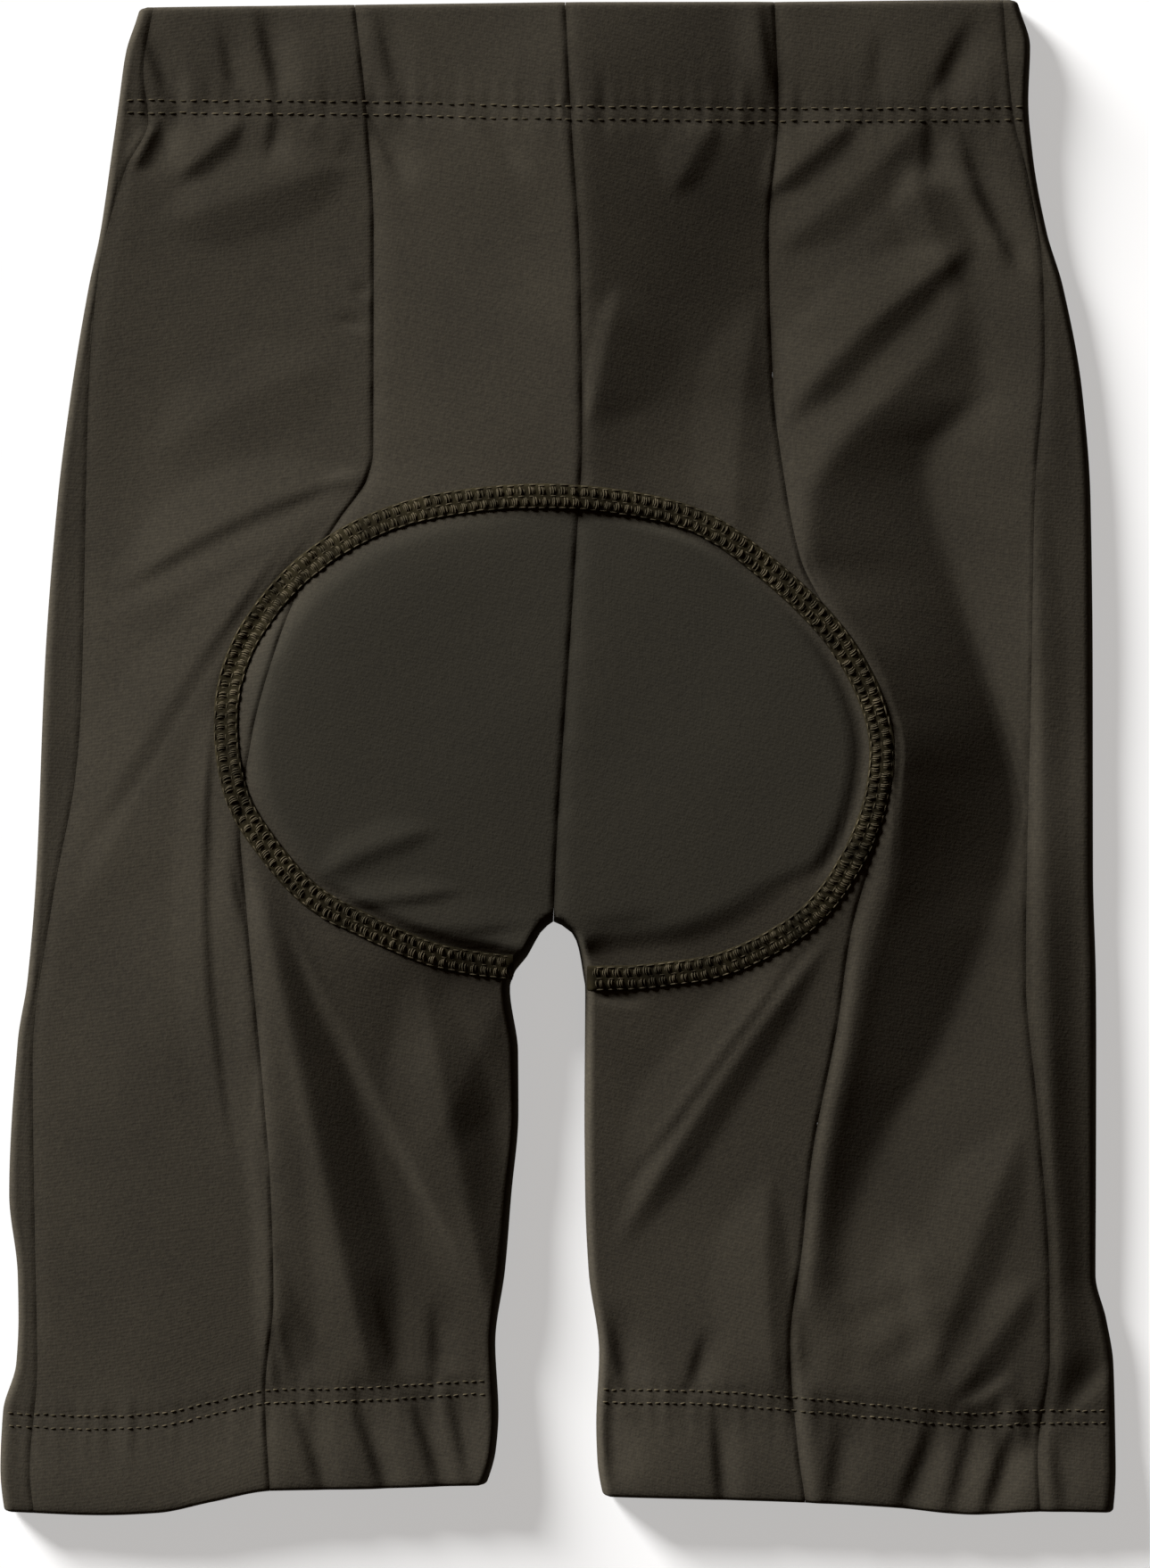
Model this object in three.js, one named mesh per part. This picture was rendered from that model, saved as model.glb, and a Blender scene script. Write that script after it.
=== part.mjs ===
// Short padded cycling trousers for a child of about eight, lying flat on their front, back uppermost.
//
// Eight long panels run whole from the waist edge to the leg hems: two inner and two outer ones on the back,
// two inner ones on the front, and two outer front ones that fold round the sides on to the back.
// Each is a thin wall that follows its folded outline. Elastics lie inside the turned waist and hems,
// the seat pad lies folded inside the seat, and its flat seam stands on the back panels.
//
// Frame: millimetres, X to the right across the back, Y up towards the waist, Z off the table, with the
// origin under the middle of the garment. A station is a distance down from the highest point of the waist.
import * as THREE from "three";
import { mergeVertices } from "three/addons/utils/BufferGeometryUtils.js";

const LENGTH = 424.6; // waist to the lowest point of the hems
const WALL = 1.1; // the knitted cloth as a wall
const SEAM_GAP = 0.4; // between two panels, measured level across the seam
const CLEAR = 0.3; // between pieces that lie on each other
const FOLD_RADIUS = 4; // a folded edge rounds over this far in from the outline
const FOLD_SEAM = 0.35; // half the gap of a seam that runs along a folded edge, measured round the fold
const CROTCH = 258.5; // station of the top of the gap between the legs
const HEM_STATION = 420; // nominal station of the hem edge
const HEM_HEIGHT = 29.5; // turned hem, edge to stitching
const WAIST_HEIGHT = 29; // turned waist, edge to stitching
const WAIST_ELASTIC = 1.1; // thickness
const HEM_ELASTIC = 0.8; // thickness
const EDGE_PINCH = 0.3; // a turned edge is this much thinner on each face
const PAD_CENTRE = { x: -4.5, station: 205 };
const PAD_TOP = 12.8; // height of the seat over the folded pad
const PAD_CROWN = 1.0; // how much lower the seat is at the pad's edge than at its middle
const SEAM_BAND = { width: 6.5, edge: 0.5, crown: 0.75 }; // the pad's flat seam: crown is its middle

// The folded sides and the inner edges of the legs, and the seams of the back, by station.
const SIDES = [
  { station: -6, left: -115.5, right: 126.5 },
  { station: 3, left: -118.1, right: 129.6 },
  { station: 13, left: -121.1, right: 132.4 },
  { station: 28, left: -123.1, right: 131.9 },
  { station: 43, left: -125.2, right: 133.1 },
  { station: 65, left: -128.4, right: 137.1 },
  { station: 80, left: -131.6, right: 141.6 },
  { station: 110, left: -136.6, right: 147.1 },
  { station: 140, left: -140.4, right: 149.4 },
  { station: 185, left: -143.9, right: 150.0 },
  { station: 245, left: -146.4, right: 150.1 },
  { station: 275, left: -148.9, right: 150.9 },
  { station: 292, left: -151.6, right: 151.0 },
  { station: 335, left: -154.0, right: 150.9 },
  { station: 357, left: -151.6, right: 150.8 },
  { station: 368, left: -151.4, right: 153.8 },
  { station: 379, left: -152.0, right: 155.8 },
  { station: 392, left: -155.7, right: 156.2 },
  { station: 408, left: -156.4, right: 156.4 },
  { station: 430, left: -153.6, right: 154.6 },
];
const INNER_EDGES = [
  { station: 258.5, left: -1.6, right: -1.0 },
  { station: 260.5, left: -4.2, right: 3.0 },
  { station: 264, left: -6.4, right: 5.2 },
  { station: 268, left: -8.6, right: 6.2 },
  { station: 273, left: -12.4, right: 7.0 },
  { station: 277, left: -13.5, right: 7.6 },
  { station: 295, left: -11.2, right: 7.5 },
  { station: 312, left: -11.1, right: 7.4 },
  { station: 335, left: -13.1, right: 7.6 },
  { station: 357, left: -14.9, right: 8.6 },
  { station: 380, left: -17.6, right: 11.5 },
  { station: 400, left: -16.7, right: 10.7 },
  { station: 410, left: -17.4, right: 11.0 },
  { station: 430, left: -24.0, right: 15.0 },
];
const CENTRE_BACK = [
  { station: 0, x: 2.0 },
  { station: 32, x: 3.5 },
  { station: 77, x: 6.2 },
  { station: 125, x: 6.7 },
  { station: 145, x: 5.6 },
  { station: 180, x: 3.3 },
  { station: 240, x: -0.6 },
  { station: 258.5, x: -1.3 },
];
const BACK_LEFT = [
  { station: 0, x: -56.9 },
  { station: 32, x: -53.6 },
  { station: 65, x: -51.6 },
  { station: 127, x: -51.7 },
  { station: 134, x: -53.2 },
  { station: 146, x: -61.2 },
  { station: 160, x: -69.9 },
  { station: 182, x: -78.8 },
  { station: 207, x: -85.6 },
  { station: 232, x: -88.8 },
  { station: 253, x: -87.2 },
  { station: 303, x: -82.6 },
  { station: 335, x: -80.3 },
  { station: 364, x: -79.6 },
  { station: 393, x: -82.0 },
  { station: 420, x: -80.6 },
];
const BACK_RIGHT = [
  { station: 0, x: 60.6 },
  { station: 31, x: 61.7 },
  { station: 66, x: 59.0 },
  { station: 110, x: 60.3 },
  { station: 132, x: 62.9 },
  { station: 156, x: 67.4 },
  { station: 171, x: 74.8 },
  { station: 190, x: 87.2 },
  { station: 211, x: 93.4 },
  { station: 230, x: 90.3 },
  { station: 262, x: 81.6 },
  { station: 287, x: 78.0 },
  { station: 325, x: 70.8 },
  { station: 350, x: 68.2 },
  { station: 376, x: 64.9 },
  { station: 404, x: 66.9 },
  { station: 420, x: 69.2 },
];
const SIDE_LEFT = [
  { station: 0, x: -113.4 },
  { station: 20, x: -116.2 },
  { station: 34, x: -114.8 },
  { station: 48, x: -121.4 },
  { station: 78, x: -129.0 },
  { station: 110, x: -131.6 },
  { station: 198, x: -133.7 },
  { station: 217, x: -135.2 },
  { station: 252, x: -141.6 },
  { station: 297, x: -147.3 },
  { station: 350, x: -146.6 },
  { station: 379, x: -146.0 },
  { station: 408, x: -148.0 },
  { station: 420, x: -146.8 },
];
const SIDE_RIGHT = [
  { station: 0, x: 124.4 },
  { station: 32, x: 127.3 },
  { station: 50, x: 131.6 },
  { station: 79, x: 135.9 },
  { station: 99, x: 136.3 },
  { station: 140, x: 133.4 },
  { station: 193, x: 132.5 },
  { station: 275, x: 130.9 },
  { station: 310, x: 134.0 },
  { station: 360, x: 137.5 },
  { station: 377, x: 137.6 },
  { station: 405, x: 134.2 },
  { station: 420, x: 134.9 },
];
// The seams of the front, which lies underneath.
const FRONT_SEAMS = [
  { station: 0, left: -60, centre: 2.2, right: 63 },
  { station: 130, left: -56, centre: 2.0, right: 60 },
  { station: 200, left: -62, centre: 0.6, right: 65 },
  { station: 260, left: -73, centre: -1.3, right: 74 },
  { station: 340, left: -77, centre: -1.3, right: 72 },
  { station: 420, left: -80, centre: -1.3, right: 69 },
];

// The hems are not level: how far down the edge lies at each place across.
const HEM_EDGE = [
  { x: -157, down: 423.6 },
  { x: -128, down: 424.6 },
  { x: -112, down: 423.9 },
  { x: -97, down: 420.8 },
  { x: -80, down: 417.6 },
  { x: -55, down: 417.2 },
  { x: -20, down: 416.2 },
  { x: -2, down: 418.0 },
  { x: 14, down: 419.3 },
  { x: 40, down: 420.0 },
  { x: 66, down: 420.8 },
  { x: 92, down: 422.2 },
  { x: 117, down: 424.4 },
  { x: 135, down: 423.6 },
  { x: 157, down: 424.0 },
];
const HEM_TILT_FROM = 345; // the hems' slant starts to show at this station
const WAIST_TILT = { left: 2.2, right: 0, fades: 29 }; // the waist edge lies lower on the left

// How high the back lies off the table where it is smooth, by station.
const LOFT = [
  { station: -6, height: 5.8 },
  { station: 27, height: 5.8 },
  { station: 36, height: 4.6 },
  { station: 60, height: 4.2 },
  { station: 382, height: 4.2 },
  { station: 392, height: 4.9 },
  { station: 430, height: 4.9 },
];

// How far the back stands above that height along each line, from left to right, by station: both seams of
// the left side, the centre seam (below the crotch, the left leg's inner edge), the right leg's inner edge,
// the right back seam, the ridge of the right thigh, the line that the thigh sinks to, the right side seam.
const SECTION_COLUMNS = [
  "station",
  "sideLeft",
  "seamLeft",
  "centre",
  "innerRight",
  "seamRight",
  "ridge",
  "low",
  "sideRight",
];
const SECTIONS = [
  [-6, 0, 1.2, 2.8, 2.8, -0.3, 0.2, 0.2, 0.2],
  [28, 0.1, 2.2, 4.6, 4.6, -0.4, 0.4, 0.4, 0.3],
  [40, 0.2, 2.8, 6.4, 6.4, -0.4, 0.6, 0.8, 0.5],
  [85, 0.2, 4, 8, 8, -0.2, 1.8, 0.8, 1.2],
  [110, 0.2, 4.6, 8.3, 8.3, 0.4, 4.6, 0, 1.5],
  [140, 0.2, 6, 8.4, 8.4, 3.4, 6.2, -0.5, 1.6],
  [180, 0.2, 6.6, 8.2, 8.2, 7.6, 8.1, -0.4, 1.6],
  [215, 0.2, 6.5, 8, 8, 8, 8.5, -0.3, 1.4],
  [245, 0.2, 6.4, 7.6, 7.6, 7.8, 8.4, -0.3, 1.4],
  [262, 0.2, 6, 6.6, 6.8, 7.2, 7.9, -0.3, 1.4],
  [280, 0.2, 5.2, 4.4, 5, 6.2, 7, -0.2, 1.4],
  [320, 0.2, 3.4, 2, 2.6, 4.2, 5, 0.2, 1.2],
  [350, 0.2, 2.3, 1, 1.2, 2.6, 3, 0.8, 1],
  [385, 0.2, 1.2, 0.2, 0.4, 1.2, 1.4, 0.7, 0.5],
  [400, 0, 0.3, 0, 0, 0.2, 0.3, 0.1, 0.1],
  [425, 0, 0, 0, 0, 0, 0, 0, 0],
].map((row) => Object.fromEntries(row.map((value, i) => [SECTION_COLUMNS[i], value])));

const THIGH_RIDGE = [
  { station: 0, x: 90 },
  { station: 60, x: 104 },
  { station: 85, x: 112 },
  { station: 95, x: 108 },
  { station: 110, x: 96 },
  { station: 120, x: 84 },
  { station: 135, x: 74 },
  { station: 157, x: 70 },
  { station: 172, x: 79 },
  { station: 185, x: 87.4 },
  { station: 200, x: 92.4 },
  { station: 217, x: 94.6 },
  { station: 245, x: 96.6 },
  { station: 262, x: 94.9 },
  { station: 280, x: 89 },
  { station: 300, x: 83.6 },
  { station: 320, x: 78.6 },
  { station: 350, x: 73 },
  { station: 430, x: 74 },
];
const THIGH_LOW = [
  { station: 0, x: 96 },
  { station: 60, x: 112 },
  { station: 85, x: 116 },
  { station: 100, x: 118 },
  { station: 110, x: 118 },
  { station: 117.5, x: 112.4 },
  { station: 125, x: 105 },
  { station: 133, x: 103 },
  { station: 140, x: 104 },
  { station: 160, x: 110.6 },
  { station: 185, x: 118.6 },
  { station: 207, x: 125.6 },
  { station: 227, x: 130 },
  { station: 240, x: 127.6 },
  { station: 262, x: 120 },
  { station: 287, x: 111 },
  { station: 300, x: 106 },
  { station: 325, x: 91 },
  { station: 335, x: 85 },
  { station: 350, x: 80 },
  { station: 430, x: 80 },
];

// The largest folds, from an upper place to a lower one. A fold stands by its rise along its line, which
// may bow to the left, and slopes off evenly over its width on the left and on the right.
const FOLDS = [
  { name: "upper right hip", x0: 106, s0: 44, x1: 63, s1: 98, bow: -2, rise: 0.8, left: 16, right: 12 },
  { name: "right hip", x0: 116, s0: 70, x1: 60, s1: 122, bow: 4, rise: 1.8, left: 20, right: 8 },
  { name: "right seat slope", x0: 57, s0: 80, x1: 50, s1: 162, bow: 3, rise: 1.1, left: 20, right: 9 },
  { name: "left hip fold", x0: -56, s0: 45, x1: -114, s1: 64, bow: 0, rise: 0.8, left: 14, right: 11 },
  { name: "left seat fold", x0: -55, s0: 133.5, x1: -126, s1: 168, bow: 4.6, rise: 1.3, left: 20, right: 6 },
  { name: "left thigh", x0: -74, s0: 150, x1: -135, s1: 240, bow: 2.5, rise: 1.1, left: 22, right: 6 },
  { name: "below it", x0: -84, s0: 168, x1: -138, s1: 262, bow: 1, rise: 1, left: 6, right: 12 },
  { name: "left middle", x0: -87, s0: 240, x1: -44, s1: 390, bow: 3, rise: 3.2, left: 18, right: 11 },
  { name: "left seam ridge", x0: -81, s0: 290, x1: -82, s1: 390, bow: 0, rise: 1.8, left: 10, right: 9 },
  { name: "left inner", x0: -82, s0: 244, x1: -22, s1: 352, bow: -2.5, rise: 2.4, left: 10, right: 30 },
  { name: "left crotch fold", x0: -11, s0: 268, x1: -39, s1: 318, bow: 0, rise: 1.5, left: 24, right: 8 },
  { name: "left knee fold", x0: -38, s0: 292, x1: -20, s1: 358, bow: 0, rise: 1.7, left: 16, right: 12 },
  { name: "upper right leg", x0: 72, s0: 261, x1: 17, s1: 334, bow: 1.4, rise: 1.1, left: 14, right: 5 },
  { name: "lower right leg", x0: 79, s0: 259, x1: 15, s1: 352, bow: 2.8, rise: 1.7, left: 6, right: 8 },
  { name: "right seam ridge", x0: 61.5, s0: 340, x1: 65, s1: 390, bow: 2.5, rise: 1.2, left: 12, right: 6 },
  { name: "right knee fold", x0: 130, s0: 318, x1: 103, s1: 384, bow: 0, rise: 1.2, left: 16, right: 7 },
];

// The middle of the pad's seam, from the left leg's inner edge round the seat to the right leg's.
const PAD_SEAM = [
  { x: -17.5, station: 270.6 },
  { x: -34, station: 267.6 },
  { x: -52, station: 260.2 },
  { x: -69, station: 250.8 },
  { x: -82, station: 236.2 },
  { x: -89.6, station: 223 },
  { x: -92.6, station: 206 },
  { x: -91, station: 189.6 },
  { x: -83.6, station: 174 },
  { x: -69.6, station: 158.6 },
  { x: -50, station: 147 },
  { x: -26, station: 141 },
  { x: 4, station: 139.8 },
  { x: 36, station: 145.4 },
  { x: 58, station: 159.4 },
  { x: 78, station: 179.4 },
  { x: 88.6, station: 200 },
  { x: 89.8, station: 218 },
  { x: 83.6, station: 238 },
  { x: 70, station: 257 },
  { x: 48, station: 269.4 },
  { x: 26, station: 273.4 },
  { x: 12.5, station: 274 },
];

const clamp01 = (t) => Math.min(1, Math.max(0, t));
const smooth = (t) => clamp01(t) ** 2 * (3 - 2 * clamp01(t));
const mix = (a, b, t) => a + (b - a) * t;

// A smooth curve through one column of a table, as a function of another.
function curve(table, key, column) {
  const at = table.map((row) => row[key]);
  const value = table.map((row) => row[column]);
  const last = at.length - 1;
  const step = (i) => (value[i + 1] - value[i]) / (at[i + 1] - at[i]);
  const slope = at.map((_, i) => {
    if (i === 0) return step(0);
    if (i === last) return step(last - 1);
    const product = step(i - 1) * step(i);
    return product > 0 ? (2 * product) / (step(i - 1) + step(i)) : 0;
  });
  return (place) => {
    if (place <= at[0]) return value[0];
    if (place >= at[last]) return value[last];
    const i = at.findIndex((a) => a > place) - 1;
    const span = at[i + 1] - at[i];
    const t = (place - at[i]) / span;
    const start = value[i] * (1 + 2 * t) + slope[i] * span * t;
    const end = value[i + 1] * (3 - 2 * t) - slope[i + 1] * span * (1 - t);
    return start * (1 - t) ** 2 + end * t ** 2;
  };
}

const leftSide = curve(SIDES, "station", "left");
const rightSide = curve(SIDES, "station", "right");
const leftInner = curve(INNER_EDGES, "station", "left");
const rightInner = curve(INNER_EDGES, "station", "right");
const centreBack = curve(CENTRE_BACK, "station", "x");
const backLeft = curve(BACK_LEFT, "station", "x");
const backRight = curve(BACK_RIGHT, "station", "x");
const sideLeft = curve(SIDE_LEFT, "station", "x");
const sideRight = curve(SIDE_RIGHT, "station", "x");
const frontLeft = curve(FRONT_SEAMS, "station", "left");
const frontCentre = curve(FRONT_SEAMS, "station", "centre");
const frontRight = curve(FRONT_SEAMS, "station", "right");
const hemEdge = curve(HEM_EDGE, "x", "down");
const loft = curve(LOFT, "station", "height");
const thighRidge = curve(THIGH_RIDGE, "station", "x");
const thighLow = curve(THIGH_LOW, "station", "x");
const sectionHeight = Object.fromEntries(
  SECTION_COLUMNS.slice(1).map((name) => [name, curve(SECTIONS, "station", name)]),
);

// Where a station lies along Y: the hems and the waist edge slant a little.
function levelOf(x, station) {
  const hem = smooth((station - HEM_TILT_FROM) / (HEM_STATION - HEM_HEIGHT - HEM_TILT_FROM));
  const across = (x - leftSide(0)) / (rightSide(0) - leftSide(0));
  const waist = mix(WAIST_TILT.left, WAIST_TILT.right, clamp01(across));
  const down = station + (hemEdge(x) - HEM_STATION) * hem + waist * (1 - smooth(station / WAIST_TILT.fades));
  return LENGTH / 2 - down;
}

// The folded edges in plan, each with the side on which the cloth lies.
function edgeLine(edge, from, to, count, inward) {
  const points = Array.from({ length: count + 1 }, (_, i) => {
    const station = mix(from, to, i / count);
    return { x: edge(station), y: levelOf(edge(station), station) };
  });
  return { points, inward };
}

// The inner edges as one line, from the left hem up to the crotch and down to the right hem.
function gapLine(count) {
  const bottom = 430;
  const side = (edge) =>
    Array.from({ length: count + 1 }, (_, i) => {
      const station = CROTCH + (bottom - CROTCH) * (i / count) ** 2;
      return { x: edge(station), y: levelOf(edge(station), station) };
    });
  return { points: [...side(leftInner).reverse(), ...side(rightInner)], inward: 1 };
}

const FOLDED_EDGES = [
  edgeLine(leftSide, -6, 430, 436, 1),
  edgeLine(rightSide, -6, 430, 436, -1),
  gapLine(260),
];

// The nearest folded edge: how far it is, and the level direction from it into the cloth.
function nearestEdge(x, y) {
  let best = { far: 1e9, inX: 0, inY: 0 };
  for (const { points, inward } of FOLDED_EDGES) {
    for (let i = 0; i < points.length - 1; i++) {
      const a = points[i];
      const b = points[i + 1];
      if (Math.min(Math.abs(a.y - y), Math.abs(b.y - y)) > 3 * FOLD_RADIUS) continue;
      const alongX = b.x - a.x;
      const alongY = b.y - a.y;
      const long = Math.hypot(alongX, alongY);
      if (long < 1e-9) continue;
      const t = clamp01(((x - a.x) * alongX + (y - a.y) * alongY) / long ** 2);
      const far = Math.hypot(x - a.x - alongX * t, y - a.y - alongY * t);
      if (far < best.far) best = { far, inX: (-alongY / long) * inward, inY: (alongX / long) * inward };
    }
  }
  return best;
}

// How high one fold stands at a place.
function foldRise(fold, x, station) {
  const alongX = fold.x1 - fold.x0;
  const alongS = fold.s1 - fold.s0;
  const long = Math.hypot(alongX, alongS);
  const t = ((x - fold.x0) * alongX + (station - fold.s0) * alongS) / long ** 2;
  if (t <= 0 || t >= 1) return 0;
  const across = ((station - fold.s0) * alongX - (x - fold.x0) * alongS) / long - fold.bow * 4 * t * (1 - t);
  const off = Math.abs(across) / (across > 0 ? fold.left : fold.right);
  const rounded = Math.sqrt(off ** 2 + 0.01) - 0.1;
  return fold.rise * Math.max(0, 1 - rounded) * smooth(t / 0.3) * smooth((1 - t) / 0.3);
}

// The pad seam as a curve in plan, and how far it lies from the pad's centre in each direction.
const padSeam = new THREE.CatmullRomCurve3(
  PAD_SEAM.map(({ x, station }) => new THREE.Vector3(x, station, 0)),
);
const padReach = (() => {
  const bottom = [PAD_SEAM.at(-1), PAD_SEAM[0]].map(({ x, station }) => new THREE.Vector3(x, station, 0));
  const around = [...padSeam.getPoints(200), ...bottom].map((p) => ({
    angle: Math.atan2(p.y - PAD_CENTRE.station, p.x - PAD_CENTRE.x),
    far: Math.hypot(p.y - PAD_CENTRE.station, p.x - PAD_CENTRE.x),
  }));
  around.sort((a, b) => a.angle - b.angle);
  const turn = 2 * Math.PI;
  const ring = [
    { angle: around.at(-1).angle - turn, far: around.at(-1).far },
    ...around,
    { angle: around[0].angle + turn, far: around[0].far },
  ];
  return (angle) => {
    const i = Math.max(1, ring.findIndex((p) => p.angle >= angle));
    const t = (angle - ring[i - 1].angle) / Math.max(1e-9, ring[i].angle - ring[i - 1].angle);
    return mix(ring[i - 1].far, ring[i].far, t);
  };
})();

// How far out a place is, as a share of the way from the pad's centre to its seam.
function padShare(x, station) {
  const dx = x - PAD_CENTRE.x;
  const ds = station - PAD_CENTRE.station;
  return Math.hypot(dx, ds) / padReach(Math.atan2(ds, dx));
}

// The back stands in broad facets between its seams, propped up by the pad.
function facets(x, station) {
  const below = station > CROTCH;
  const high = sectionHeight;
  const lines = [
    [leftSide(station) + 3, 0],
    [sideLeft(station), high.sideLeft(station)],
    [backLeft(station), high.seamLeft(station)],
    [below ? leftInner(station) : centreBack(station), high.centre(station)],
    [below ? rightInner(station) : centreBack(station), high.innerRight(station)],
    [backRight(station), high.seamRight(station)],
    [Math.max(thighRidge(station), backRight(station) + 0.5), high.ridge(station)],
    [thighLow(station), high.low(station)],
    [sideRight(station), high.sideRight(station)],
    [rightSide(station) - 3, 0],
  ];
  const next = lines.findIndex(([at]) => at > x);
  if (next <= 0) return 0;
  const [x0, z0] = lines[next - 1];
  const [x1, z1] = lines[next];
  return mix(z0, z1, (x - x0) / Math.max(1e-6, x1 - x0));
}

const BACK_SEAMS = [backLeft, backRight, sideLeft, sideRight];

// How high the outside of the back lies off the table.
function backHeight(x, station) {
  const share = padShare(x, station);
  const lowEnd = 0.06 * smooth((station - 235) / 20);
  const onPad = 1 - smooth((share - 0.88 + lowEnd) / 0.09);
  const soft = (facets(x - 2.4, station) + 2 * facets(x, station) + facets(x + 2.4, station)) / 4;
  const seat = PAD_TOP - PAD_CROWN * share ** 2;
  let height = mix(loft(station) + soft, seat, onPad);
  const inBody = smooth((station - 24) / 14) * smooth((HEM_STATION - HEM_HEIGHT + 6 - station) / 14);
  for (const fold of FOLDS) height += foldRise(fold, x, station) * inBody;
  const seams = station < CROTCH ? [...BACK_SEAMS, centreBack] : BACK_SEAMS;
  const nearest = Math.min(...seams.map((seam) => Math.abs(x - seam(station))));
  return height - 0.3 * Math.exp(-((nearest / 1.2) ** 2));
}

// Half the height of a folded edge. The crotch is thicker, because the pad is folded into it.
function middle(x, station) {
  const crotch = Math.exp(-((x / 16) ** 2) - ((station - CROTCH - 3) / 16) ** 2);
  return loft(station) / 2 + 1.5 * crotch;
}

// A place on the cloth at some depth under its outside, on the back or on the front.
function place(x, station, back, depth) {
  const y = levelOf(x, station);
  const edge = nearestEdge(x, y);
  const beside = clamp01(1 - edge.far / FOLD_RADIUS);
  const over = Math.sqrt(1 - beside ** 2);
  const centre = middle(x, station);
  const z = back
    ? centre + (backHeight(x, station) - depth - centre) * over
    : centre - (centre - depth) * over;
  return new THREE.Vector3(x + edge.inX * depth * beside, y + edge.inY * depth * beside, z);
}

// How far in from the outline a point lies that is some way round the fold.
const inFromEdge = (round) => {
  const quarter = (FOLD_RADIUS * Math.PI) / 2;
  return round < quarter ? FOLD_RADIUS * (1 - Math.cos(round / FOLD_RADIUS)) : FOLD_RADIUS + round - quarter;
};
const roundFromEdge = (inward) =>
  inward < FOLD_RADIUS
    ? FOLD_RADIUS * Math.acos(1 - inward / FOLD_RADIUS)
    : inward + (Math.PI / 2 - 1) * FOLD_RADIUS;

// A closed solid between two grids of points, of the same size. A loop's columns close on themselves.
function solidBetween(outer, inner, loop = false) {
  const rows = outer.length;
  const columns = outer[0].length;
  const points = [...outer.flat(), ...inner.flat()];
  const at = (side, i, j) => (side * rows + i) * columns + (j % columns);
  const faces = [];
  const quad = (a, b, c, d) => faces.push(a, b, c, a, c, d);
  const spans = loop ? columns : columns - 1;
  for (let i = 0; i < rows - 1; i++) {
    for (let j = 0; j < spans; j++) {
      quad(at(0, i, j), at(0, i + 1, j), at(0, i + 1, j + 1), at(0, i, j + 1));
      quad(at(1, i, j), at(1, i, j + 1), at(1, i + 1, j + 1), at(1, i + 1, j));
    }
  }
  for (let j = 0; j < spans; j++) {
    quad(at(0, 0, j), at(0, 0, j + 1), at(1, 0, j + 1), at(1, 0, j));
    quad(at(0, rows - 1, j), at(1, rows - 1, j), at(1, rows - 1, j + 1), at(0, rows - 1, j + 1));
  }
  for (let i = 0; i < rows - 1 && !loop; i++) {
    quad(at(0, i, 0), at(1, i, 0), at(1, i + 1, 0), at(0, i + 1, 0));
    const j = columns - 1;
    quad(at(0, i, j), at(0, i + 1, j), at(1, i + 1, j), at(1, i, j));
  }
  return facingOut(points, faces);
}

// A geometry from points and faces, turned so that its faces point out.
function facingOut(points, faces) {
  let volume = 0;
  for (let i = 0; i < faces.length; i += 3) {
    const [a, b, c] = [points[faces[i]], points[faces[i + 1]], points[faces[i + 2]]];
    volume += a.dot(new THREE.Vector3().crossVectors(b, c));
  }
  const turned = volume < 0 ? faces.slice().reverse() : faces;
  const geometry = new THREE.BufferGeometry().setFromPoints(points);
  geometry.setIndex(turned);
  const merged = mergeVertices(geometry, 1e-4);
  merged.computeVertexNormals();
  return merged;
}

// The stations of the rows that all the panels share: closer at the edges, the stitching and the crotch.
const ZONES = [
  { to: 0.7, steps: 1 },
  { to: 27, steps: 3 },
  { to: 31, steps: 1 },
  { to: 47, steps: 2 },
  { to: 251, steps: 17 },
  { to: CROTCH, steps: 3 },
  { to: 273, steps: 5 },
  { to: 285, steps: 1 },
  { to: 384, steps: 8 },
  { to: 390.5, steps: 1 },
  { to: 394, steps: 1 },
  { to: HEM_STATION - 0.7, steps: 2 },
  { to: HEM_STATION, steps: 1 },
];
const STATIONS = ZONES.reduce(
  (rows, { to, steps }) => {
    const from = rows.at(-1);
    return [...rows, ...Array.from({ length: steps }, (_, i) => mix(from, to, (i + 1) / steps))];
  },
  [0],
);

const NEAR_SEAM = [0, 3]; // columns beside a plain seam
const NEAR_FOLD = [0, 2.1, 4.4, 8]; // columns beside a folded edge

// Distances across a panel of some width, close together at both ends.
function spread(width, start, end, between) {
  const first = start.at(-1);
  const last = width - end.at(-1);
  const middleOnes = Array.from({ length: between }, (_, i) => mix(first, last, (i + 1) / (between + 1)));
  return [...start, ...middleOnes, ...end.map((d) => width - d).reverse()];
}

// The columns of each panel at a station, as places across and the face that they lie on.
// outward is 1 where the panel runs from a seam to a fold on its right, and -1 where it is on its left.
function innerPanelColumns(seam, centre, gapEdge, back, outward, between) {
  return (station) => {
    const start = seam(station) + (outward * SEAM_GAP) / 2;
    if (station < CROTCH) {
      const end = centre(station) - (outward * SEAM_GAP) / 2;
      const width = Math.abs(end - start);
      return spread(width, NEAR_SEAM, NEAR_FOLD, between).map((d) => ({ x: start + outward * d, back }));
    }
    const edge = gapEdge(station);
    const width = roundFromEdge(Math.abs(edge - start)) - FOLD_SEAM;
    return spread(width, NEAR_SEAM, NEAR_FOLD, between).map((d) => ({
      x: edge - outward * inFromEdge(width - d + FOLD_SEAM),
      back,
    }));
  };
}

function outerBackColumns(from, to, between) {
  return (station) => {
    const start = from(station) + SEAM_GAP / 2;
    const width = to(station) - SEAM_GAP / 2 - start;
    return spread(width, NEAR_SEAM, NEAR_SEAM, between).map((d) => ({ x: start + d, back: true }));
  };
}

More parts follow.
